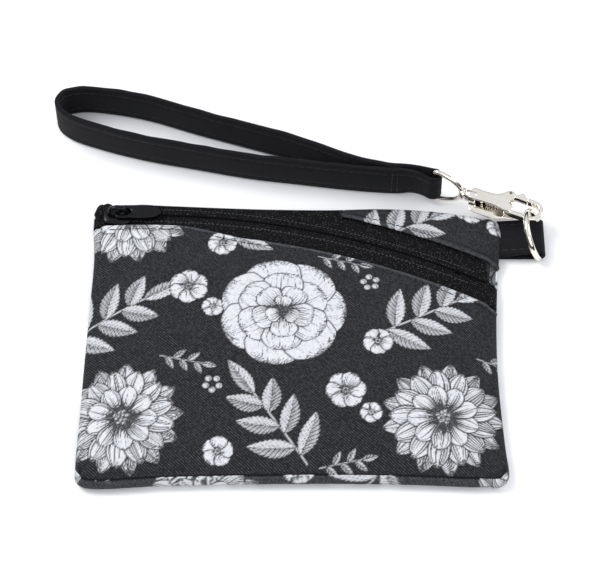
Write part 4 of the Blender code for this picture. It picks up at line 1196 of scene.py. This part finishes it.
def smooth_open(points, per_span):
    """A smooth open curve through points."""
    points = np.asarray(points, float)
    ends = [2 * points[0] - points[1], *points, 2 * points[-1] - points[-2]]
    out = []
    for i in range(1, len(ends) - 2):
        p0, p1, p2, p3 = ends[i - 1 : i + 3]
        for k in range(per_span):
            t = k / per_span
            bend = (2 * p0 - 5 * p1 + 4 * p2 - p3) * t**2 + (3 * p1 - p0 - 3 * p2 + p3) * t**3
            out.append(0.5 * (2 * p1 + (p2 - p0) * t + bend))
    return np.array(out + [points[-1]])


def lump(centre, size, rows, cols):
    """Points of an uneven ball."""
    points = []
    for i in range(rows):
        a = math.pi * (i + 0.25) / (rows + 0.5)
        for k in range(cols):
            b = 2 * math.pi * k / cols
            bump = 1 + 0.05 * math.sin(5 * b + 3 * a + centre[0]) + 0.04 * math.sin(9 * a + 2 * b)
            out = (bump * math.sin(a) * math.cos(b), bump * math.sin(a) * math.sin(b), math.cos(a))
            points.append([c + r * share for c, r, share in zip(centre, size, out)])
    return points


def tape_end(material):
    """The folded, lumpy end of the zip at the left side seam."""
    rows, cols = 17, 28
    lumps = (
        ((-62.4, 47.8, 3.6), (1.5, 2.1, 1.8)), ((-61.4, 50.0, 3.3), (1.9, 1.5, 1.8)),
        ((-62.6, 45.4, 3.5), (1.3, 1.6, 1.6)), ((-59.8, 50.6, 3.3), (1.7, 1.3, 1.7)),
        ((-61.6, 48.2, 4.2), (1.7, 2.0, 1.4)),
    )
    verts, faces = [], []
    for centre, size in lumps:
        faces += grid_quads(rows, cols, wrap_cols=True, start=len(verts)) + end_caps(rows, cols, len(verts))
        verts += lump(centre, size, rows, cols)
    item = mesh_piece("zip_tape_end", verts, faces, material)
    face_up(item)
    set_float(item, "along", [v[0] for v in verts])
    set_float(item, "across", [v[1] for v in verts])


# ---------------------------------------------------------------- strap and tab


STRAP_PATH = [
    (45.9, 56.6), (45.0, 58.4), (43.2, 58.9), (40.6, 59.5), (37.5, 60.1), (33.5, 60.6), (28.0, 61.3),
    (17.2, 64.4), (1.3, 71.3), (-15.0, 76.8), (-31.0, 82.0), (-48.0, 88.0), (-60.0, 90.7), (-70.0, 91.6),
    (-75.2, 90.2), (-77.3, 87.0), (-76.4, 83.6), (-72.5, 80.2), (-64.0, 76.6), (-48.8, 71.9),
    (-31.0, 68.0), (-14.8, 64.6), (1.3, 62.3), (16.7, 60.2), (28.0, 59.1), (33.5, 58.8), (37.5, 58.1),
    (41.0, 56.2), (42.9, 55.0), (44.9, 55.1),
]


def strap_form(x, y):
    """The strap's foot, top, thickness and sideways wave at a place on its path."""
    low = np.interp(x, [33.0, 41.0], [0.35, 2.55])
    high = np.interp(x, [33.0, 41.0], [12.95, 13.2])
    thick = np.interp(x, [31.0, 40.0], [1.62, 1.15])
    return low, high, thick, 0.12 * ripple(x * 0.9 + y, 4.0)


def strap_section(thick, low, high):
    """A folded strip's section: rounded edges and a shallow groove along each stitch line."""
    height = high - low
    points = []
    shares = [0.0, 0.02, 0.06, 0.12, 0.16, 0.185, 0.21, 0.3, 0.5]
    for share in shares + [1 - share for share in reversed(shares[:-1])]:
        end = min(share, 1 - share) * height
        half = thick * (0.28 + 0.22 * math.sqrt(max(0.0, 1 - (1 - min(end / 0.7, 1)) ** 2)))
        half -= 0.14 * math.exp(-(((end - 2.35) / 0.32) ** 2))
        points.append((half, low + share * height))
    return points + [(-h, z) for h, z in reversed(points)]


def strap_band(path, side, material):
    """The strap's cloth: one strip round the wrist loop and the D-ring's bar."""
    verts = []
    for (x, y), n in zip(path, side):
        low, high, thick, wave = strap_form(x, y)
        for half, z in strap_section(thick, low, high):
            out = half + wave * (z - low) / (high - low)
            verts.append((x + n[0] * out, y + n[1] * out, z))
    cols = len(verts) // len(path)
    item = mesh_piece("wrist_strap_cloth", verts, grid_quads(len(path), cols, True, True), material, "strap")
    face_up(item)
    set_float(item, "along", np.repeat(run_length(path), cols))
    set_float(item, "across", [v[2] for v in verts])
    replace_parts(item, "wrist_strap")
    return item


def strap_edge_line(path, side, hand, level):
    """A stitch line on one face: up from the strap's foot, or down from its top if level is negative."""
    line = []
    for (x, y), n in zip(path, side):
        low, high, thick, wave = strap_form(x, y)
        z = low + level if level > 0 else high + level
        out = hand * (thick * 0.5 - 0.12) + wave * (z - low) / (high - low)
        line.append((x + n[0] * out, y + n[1] * out, z))
    return line


def strap_stitches(path, side, thread):
    """The stitching along both edges, and the two rows that join the strap's ends."""
    lines = [strap_edge_line(path, side, hand, level) for level in (2.4, -2.4) for hand in (-1, 1)]
    starts, ends = zip(*(along_path(line, 2.7, 2.2) for line in lines))
    beads("strap_edge_stitches", np.concatenate(starts), np.concatenate(ends), 0.12, 0.15, thread, "strap")
    starts, ends = [], []
    for x, front, back in ((30.6, 58.13, 61.83), (32.3, 58.07, 61.55)):
        for k in range(5):
            for y in (front, back):
                z = 1.6 + 2.05 * k
                starts.append((x, y, z))
                ends.append((x, y, z + 1.7))
    beads("strap_join_stitches", starts, ends, 0.18, 0.15, thread, "strap")


def wrist_strap(material, thread):
    """The strap and its stitching."""
    path = centripetal(STRAP_PATH, 16)
    side = inward(path)
    band = strap_band(path, side, material)
    strap_stitches(path, side, thread)
    return band


def tab_loop():
    """The tab's section, out round the D-ring's bar and back, and how many of its points are outside."""
    bar_x, _, bar_z = RING_BAR
    turn = [math.radians(a) for a in range(90, -91, -12)]
    outer = [(63.6, 2.9), (66.0, 3.15), (70.0, 3.6)]
    outer += [(bar_x + 2.15 * math.cos(a), bar_z + 2.1 * math.sin(a)) for a in turn]
    outer += [(70.0, 0.14), (63.6, 0.16)]
    inner = [(63.6, 1.1), (66.5, 1.15), (70.0, 1.15)]
    inner += [(bar_x + 1.15 * math.cos(a), bar_z + 1.15 * math.sin(a)) for a in reversed(turn)]
    inner += [(70.0, 2.5), (66.5, 2.1), (63.6, 1.9)]
    return outer + inner, len(outer)


def tab_band(material):
    """The tab's cloth, with rounded edges and a groove under each stitch line."""
    loop, outside = tab_loop()
    shares = [0, 0.25, 0.5, 0.68, 0.74, 0.8, 0.9, 0.95, 0.985, 1.0]
    shares = [-share for share in reversed(shares[1:])] + shares
    verts = []
    for share in shares:
        end = (1 - abs(share)) * TAB_HALF
        shrink = 0.35 * (1 - math.sqrt(max(0.0, 1 - (1 - min(end / 0.45, 1)) ** 2)))
        dip = shrink + 0.1 * math.exp(-(((end - 1.7) / 0.3) ** 2))
        for k, (x, z) in enumerate(loop):
            pull = (dip if k < outside else -dip) * np.sign(z - 2.2)
            verts.append((x, RING_BAR[1] + share * TAB_HALF, max(z - pull, 0.12)))
    item = mesh_piece("side_tab_cloth", verts, grid_quads(len(shares), len(loop), wrap_cols=True), material)
    cap_ends(item, len(shares), len(loop))
    face_up(item)
    set_float(item, "along", [v[0] for v in verts])
    set_float(item, "across", [v[1] for v in verts])
    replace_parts(item, "side_tab")
    return item


def tab_stitches(thread):
    """The rows along the tab's edges and across it, beside the D-ring."""
    middle = RING_BAR[1]
    lines = []
    for y in (-4.8, 4.8):
        xs = np.linspace(64.6, 75.6, 20)
        heights = np.interp(xs, [63.6, 66.0, 70.0, 76.0], [2.9, 3.15, 3.6, 4.34]) - 0.04
        lines.append([(x, middle + y, z) for x, z in zip(xs, heights)])
    pairs = [along_path(line, 2.6, 2.1) for line in lines]
    pairs.append(along_path([(73.2, middle + y, 4.0) for y in np.linspace(-4.6, 4.6, 12)], 2.4, 2.0))
    starts, ends = zip(*pairs)
    item = beads("tab_stitches", np.concatenate(starts), np.concatenate(ends), 0.16, 0.12, thread)
    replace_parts(item, "tab_stitching")


def cap_ends(item, rows, cols):
    """Closes the open ends of a piece with one face each."""
    bm = bmesh.new()
    bm.from_mesh(item.data)
    bm.verts.ensure_lookup_table()
    for ring in (range(cols), range((rows - 1) * cols, rows * cols)):
        bm.faces.new([bm.verts[i] for i in ring])
    bm.to_mesh(item.data)
    bm.free()
    item.data.shade_smooth()
    item.data.set_sharp_from_angle(angle=math.radians(50))


# ---------------------------------------------------------------- materials


class Shade:
    """A material's nodes, made by short calls."""

    def __init__(self, name):
        self.material = bpy.data.materials.new(name)
        self.material.use_nodes = True
        self.nodes = self.material.node_tree.nodes
        self.links = self.material.node_tree.links
        self.shader = self.nodes["Principled BSDF"]

    def put(self, socket, value):
        """Links a node's output, or sets a plain value, on an input."""
        if isinstance(value, bpy.types.NodeSocket):
            self.links.new(value, socket)
        else:
            socket.default_value = value

    def set(self, name, value):
        """Links or sets one of the shader's own inputs."""
        self.put(self.shader.inputs[name], value)

    def node(self, kind, **inputs):
        """A node with some of its inputs set by name."""
        made = self.nodes.new(kind)
        for name, value in inputs.items():
            self.put(made.inputs[name.replace("_", " ")], value)
        return made

    def math(self, operation, a, b=0.0, clamp=False):
        """One sum."""
        made = self.nodes.new("ShaderNodeMath")
        made.operation = operation
        made.use_clamp = clamp
        self.put(made.inputs[0], a)
        self.put(made.inputs[1], b)
        return made.outputs[0]

    def attribute(self, name):
        """A number stored on the vertices."""
        made = self.nodes.new("ShaderNodeAttribute")
        made.attribute_name = name
        return made.outputs["Fac"]

    def place(self):
        """The place in plan in millimetres, as separate numbers."""
        coordinates = self.nodes.new("ShaderNodeTexCoord").outputs["Object"]
        split = self.nodes.new("ShaderNodeSeparateXYZ")
        self.links.new(coordinates, split.inputs[0])
        return [self.math("MULTIPLY", split.outputs[k], 1 / MM) for k in range(2)]

    def wave(self, value, period):
        """A sine of a length."""
        return self.math("SINE", self.math("MULTIPLY", value, 2 * math.pi / period))

    def noise(self, scale, detail=3.0, roughness=0.5):
        """Soft noise by place. The scale is for one metre."""
        place = self.nodes.new("ShaderNodeTexCoord").outputs["Object"]
        made = self.node("ShaderNodeTexNoise", Vector=place, Scale=scale, Detail=detail, Roughness=roughness)
        return made.outputs["Fac"]

    def ramp(self, value, low, high, out_low=0.0, out_high=1.0):
        """A value moved from one range to another."""
        ends = {"From_Min": low, "From_Max": high, "To_Min": out_low, "To_Max": out_high}
        return self.node("ShaderNodeMapRange", Value=value, **ends).outputs[0]

    def mix(self, factor, first, second):
        """A colour between two."""
        made = self.nodes.new("ShaderNodeMix")
        made.data_type = "RGBA"
        self.put(made.inputs[0], factor)
        for socket, colour in ((made.inputs[6], first), (made.inputs[7], second)):
            self.put(socket, colour if isinstance(colour, bpy.types.NodeSocket) else (*colour, 1.0))
        return made.outputs[2]

    def bump(self, height, strength, distance_mm):
        """Bump from a height."""
        made = self.node("ShaderNodeBump", Height=height, Strength=strength, Distance=distance_mm * MM)
        self.links.new(made.outputs[0], self.shader.inputs["Normal"])


def print_cloth():
    """Cotton with a fine diagonal weave, a dark ground and a pale print, with painted highlights on ridges
    and painted shade in creases.
    """
    s = Shade("print_cloth_look")
    x, y = s.place()
    wobble = s.math("MULTIPLY", s.noise(60.0, 2.0), 1.6)
    line = s.wave(s.math("ADD", s.math("ADD", x, s.math("MULTIPLY", y, 1.1)), wobble), 1.0)
    cross = s.wave(s.math("SUBTRACT", x, y), 0.7)
    knots = s.math("MULTIPLY", s.math("MULTIPLY", line, cross), 0.5)
    weave = s.math("ADD", s.math("MULTIPLY", line, 0.6), knots)
    grain = s.noise(1250.0, 3.0, 0.65)
    slub = s.noise(120.0, 3.0, 0.6)
    speck = s.math("MULTIPLY", s.ramp(weave, -0.1, 0.9), s.ramp(grain, 0.4, 0.66))
    ground = s.mix(s.ramp(slub, 0.35, 0.7), (0.0085, 0.009, 0.0105), (0.0135, 0.014, 0.016))
    ground = s.mix(s.math("MULTIPLY", speck, 0.9), ground, (0.112, 0.114, 0.122))
    painted_light = s.attribute("painted_light")
    # Painted highlight: the ground is mixed paler on the fold ridges and the bottom roll.
    painted_highlight = s.math("MULTIPLY", painted_light, s.ramp(grain, 0.35, 0.65, 0.3, 1.0), True)
    ground = s.mix(painted_highlight, ground, (0.085, 0.087, 0.094))
    # Painted shade: the ground is mixed near black in the stitch line, the bottom crease and at the roll's
    # seam.
    ground = s.mix(s.math("MULTIPLY", painted_light, -1.0, True), ground, (0.003, 0.003, 0.004))
    pale = s.mix(s.ramp(grain, 0.3, 0.75), (0.56, 0.575, 0.60), (0.74, 0.755, 0.775))
    cover = s.math("MULTIPLY", s.attribute("ink"), s.ramp(weave, -0.9, 0.1, 0.9, 1.0))
    s.set("Base Color", s.mix(cover, ground, pale))
    s.set("Roughness", s.ramp(slub, 0.3, 0.7, 0.84, 0.95))
    s.set("Specular IOR Level", 0.18)
    s.set("Sheen Weight", 0.04)
    s.set("Sheen Roughness", 0.5)
    height = s.math("ADD", weave, s.math("MULTIPLY", s.noise(420.0, 3.0), 1.2))
    s.bump(height, 0.4, 0.14)
    return s.material


def zip_tape_look():
    """Black herringbone tape with small glints on its yarns."""
    s = Shade("zip_tape_look")
    along, across = s.attribute("along"), s.attribute("across")
    zigzag = s.math("PINGPONG", s.math("ADD", across, 20.0), 1.6)
    line = s.wave(s.math("ADD", along, s.math("MULTIPLY", zigzag, 1.1)), 0.95)
    weave = s.math("MULTIPLY", s.ramp(line, -0.4, 0.9), s.ramp(s.wave(across, 0.72), -0.6, 0.8))
    grain = s.noise(1300.0, 2.0)
    glint = s.math("MULTIPLY", weave, s.ramp(grain, 0.5, 0.62))
    s.set("Base Color", s.mix(glint, (0.0014, 0.0014, 0.0017), (0.075, 0.075, 0.08)))
    s.set("Roughness", s.ramp(weave, 0.0, 1.0, 0.75, 0.5))
    s.set("Specular IOR Level", 0.12)
    s.bump(s.math("ADD", weave, s.math("MULTIPLY", grain, 0.3)), 0.7, 0.22)
    return s.material


def strap_look():
    """Black cotton twill."""
    s = Shade("strap_cloth_look")
    along, across = s.attribute("along"), s.attribute("across")
    rising = s.wave(s.math("ADD", along, across), 0.55)
    falling = s.wave(s.math("SUBTRACT", along, across), 0.5)
    weave = s.math("MULTIPLY", rising, falling)
    worn = s.noise(160.0, 4.0, 0.65)
    base = s.mix(s.ramp(worn, 0.3, 0.75), (0.0042, 0.0042, 0.0056), (0.0082, 0.0082, 0.0102))
    fleck = s.math("MULTIPLY", s.ramp(weave, 0.2, 1.0), s.ramp(s.noise(1100.0, 2.0), 0.48, 0.7))
    s.set("Base Color", s.mix(s.math("MULTIPLY", fleck, 0.45), base, (0.045, 0.045, 0.05)))
    s.set("Roughness", s.ramp(worn, 0.3, 0.7, 0.78, 0.92))
    s.set("Specular IOR Level", 0.14)
    s.set("Sheen Weight", 0.04)
    s.bump(s.math("ADD", weave, s.math("MULTIPLY", s.noise(500.0, 3.0), 1.5)), 0.4, 0.14)
    return s.material


def thread_look():
    """Black sewing thread, twisted."""
    s = Shade("thread_look")
    fuzz = s.noise(2600.0, 2.0)
    s.set("Base Color", s.mix(s.ramp(fuzz, 0.35, 0.7), (0.003, 0.003, 0.004), (0.02, 0.02, 0.022)))
    s.set("Roughness", 0.6)
    s.bump(fuzz, 0.5, 0.08)
    return s.material


def coil_look():
    """Black nylon coil and the shiny thread that sews it down."""
    s = Shade("coil_look")
    grain = s.noise(1800.0, 2.0)
    s.set("Base Color", s.mix(grain, (0.006, 0.006, 0.007), (0.05, 0.05, 0.054)))
    s.set("Roughness", s.ramp(grain, 0.3, 0.7, 0.3, 0.55))
    s.bump(grain, 0.3, 0.05)
    return s.material


def nickel_look():
    """Polished nickel, faintly warm, with fine handling marks."""
    s = Shade("nickel_look")
    marks = s.noise(500.0, 4.0, 0.6)
    s.set("Base Color", s.mix(s.ramp(marks, 0.35, 0.7), (0.82, 0.77, 0.68), (0.88, 0.84, 0.77)))
    s.set("Metallic", 1.0)
    s.set("Roughness", s.ramp(marks, 0.35, 0.75, 0.05, 0.11))
    s.bump(s.noise(180.0, 2.0), 0.06, 0.1)
    return s.material


def shaded_nickel_look():
    """A duller, darker and browner copy of the nickel: painted shade for the hook's inside."""
    s = Shade("shaded_nickel_look")
    marks = s.noise(900.0, 4.0, 0.7)
    s.set("Base Color", s.mix(s.ramp(marks, 0.35, 0.7), (0.10, 0.085, 0.06), (0.30, 0.26, 0.19)))
    s.set("Metallic", 1.0)
    s.set("Roughness", s.ramp(marks, 0.35, 0.75, 0.2, 0.4))
    s.bump(marks, 0.2, 0.1)
    return s.material


def enamel_look():
    """Glossy black enamel."""
    s = Shade("enamel_look")
    marks = s.noise(900.0, 4.0)
    s.set("Base Color", s.mix(marks, (0.002, 0.002, 0.0025), (0.006, 0.006, 0.007)))
    s.set("Roughness", s.ramp(marks, 0.35, 0.7, 0.16, 0.3))
    s.set("Specular IOR Level", 0.1)
    s.set("Coat Weight", 0.15)
    s.set("Coat Roughness", 0.05)
    s.bump(s.noise(300.0, 2.0), 0.1, 0.1)
    return s.material


def lining_look():
    """Plain dark cotton lining."""
    s = Shade("lining_look")
    x, y = s.place()
    weave = s.math("MULTIPLY", s.wave(x, 2 * math.pi / 11), s.wave(y, 2 * math.pi / 11))
    s.set("Base Color", s.mix(s.ramp(weave, -1, 1), (0.02, 0.02, 0.022), (0.05, 0.05, 0.053)))
    s.set("Roughness", 0.9)
    s.bump(weave, 0.3, 0.1)
    return s.material


def floor_look():
    """Plain pale floor."""
    s = Shade("floor_look")
    tone = s.noise(6.0, 2.0)
    s.set("Base Color", s.mix(tone, (0.86, 0.865, 0.875), (0.90, 0.90, 0.905)))
    s.set("Roughness", 0.85)
    s.set("Specular IOR Level", 0.1)
    return s.material


# ---------------------------------------------------------------- stage


CAMERA_TARGET = Vector((0.0013, 0.0243, 0.0))
CAMERA_DISTANCE = 0.6936
CAMERA_ELEVATION = math.radians(57.0)
CAMERA_LENS = 132.95


def aim(item, target):
    """Points an object's -Z at a target."""
    item.rotation_euler = (Vector(target) - item.location).to_track_quat("-Z", "Y").to_euler()


def add_camera():
    """The camera, looking along +Y and down."""
    data = bpy.data.cameras.new("camera")
    data.lens = CAMERA_LENS
    data.sensor_width = 36.0
    data.clip_start = 0.01
    item = bpy.data.objects.new("camera", data)
    bpy.context.collection.objects.link(item)
    back = Vector((0.0, -math.cos(CAMERA_ELEVATION), math.sin(CAMERA_ELEVATION)))
    item.location = CAMERA_TARGET + back * CAMERA_DISTANCE
    aim(item, CAMERA_TARGET)
    bpy.context.scene.camera = item


def add_light(name, place, size, power):
    """A square soft light, aimed at the middle of the part."""
    data = bpy.data.lights.new(name, "AREA")
    data.size = size
    data.energy = power
    item = bpy.data.objects.new(name, data)
    bpy.context.collection.objects.link(item)
    item.location = place
    aim(item, (0.0, 0.0, 0.0))


def add_stage():
    """Floor, lights and sky."""
    half = 1.6
    mesh = bpy.data.meshes.new("floor")
    corners = [(-half, -half, 0), (half, -half, 0), (half, half, 0), (-half, half, 0)]
    mesh.from_pydata(corners, [], [(0, 1, 2, 3)])
    mesh.materials.append(floor_look())
    floor = bpy.data.objects.new("floor", mesh)
    bpy.context.collection.objects.link(floor)
    floor.location.z = -0.00015
    add_light("key", (-0.75, 0.35, 0.95), 0.6, 10.0)
    add_light("front", (0.25, -0.85, 0.7), 0.8, 4.0)
    add_light("side", (0.85, 0.25, 0.5), 0.4, 2.0)
    world = bpy.data.worlds.new("sky")
    world.use_nodes = True
    shade_sky(world.node_tree)
    bpy.context.scene.world = world
    bpy.context.scene.view_settings.view_transform = "Standard"


def shade_sky(tree):
    """A room that is bright overhead and dim towards the walls."""
    sky = tree.nodes["Background"]
    direction = tree.nodes.new("ShaderNodeTexCoord").outputs["Generated"]
    height = tree.nodes.new("ShaderNodeSeparateXYZ")
    tree.links.new(direction, height.inputs[0])
    ramp = tree.nodes.new("ShaderNodeValToRGB")
    tree.links.new(height.outputs[2], ramp.inputs[0])
    ramp.color_ramp.elements[0].position = 0.22
    ramp.color_ramp.elements[0].color = (0.035, 0.03, 0.025, 1.0)
    ramp.color_ramp.elements[1].position = 0.62
    ramp.color_ramp.elements[1].color = (0.93, 0.95, 1.0, 1.0)
    tree.links.new(ramp.outputs[0], sky.inputs[0])
    sky.inputs[1].default_value = 0.95


def make_pouch(thread):
    """The printed cloth, the linings and the topstitching beside the zip."""
    cloth = print_cloth()
    front_low = lower_panel(cloth, PRINT_STEP)
    front_high = upper_panel(cloth, PRINT_STEP)
    back = back_panel(cloth, BACK_STEP)
    low, high, rear = linings(lining_look())
    zip_stitches(thread)
    return back


def make_zip():
    """The tapes, the coils, the stop, the slider and its pull."""
    woven, enamel = zip_tape_look(), enamel_look()
    tape("tape_lower", -1, woven, "zip_tape_lower")
    tape("tape_upper", 1, woven, "zip_tape_upper")
    zip_coils(coil_look())
    tape_end(woven)
    soften("zip_bottom_stop", 0.2, enamel)
    zip_slider(enamel)
    zip_pull(enamel)


def make_strap(thread):
    """The side tab, its D-ring, the swivel hook and the wrist strap."""
    # The second nickel is painted darker and browner as shade for the hook's inside.
    nickel, shade_painted_nickel = nickel_look(), shaded_nickel_look()
    tab_ring(nickel)
    swivel_ring(nickel)
    clasp_body(nickel, shade_painted_nickel)
    clasp_gate(nickel, shade_painted_nickel)
    twill = strap_look()
    band = wrist_strap(twill, thread)
    tab = tab_band(twill)
    tab_stitches(thread)


def main():
    """Everything in the picture."""
    add_camera()
    add_stage()
    thread = thread_look()
    back = make_pouch(thread)
    make_zip()
    make_strap(thread)


main()
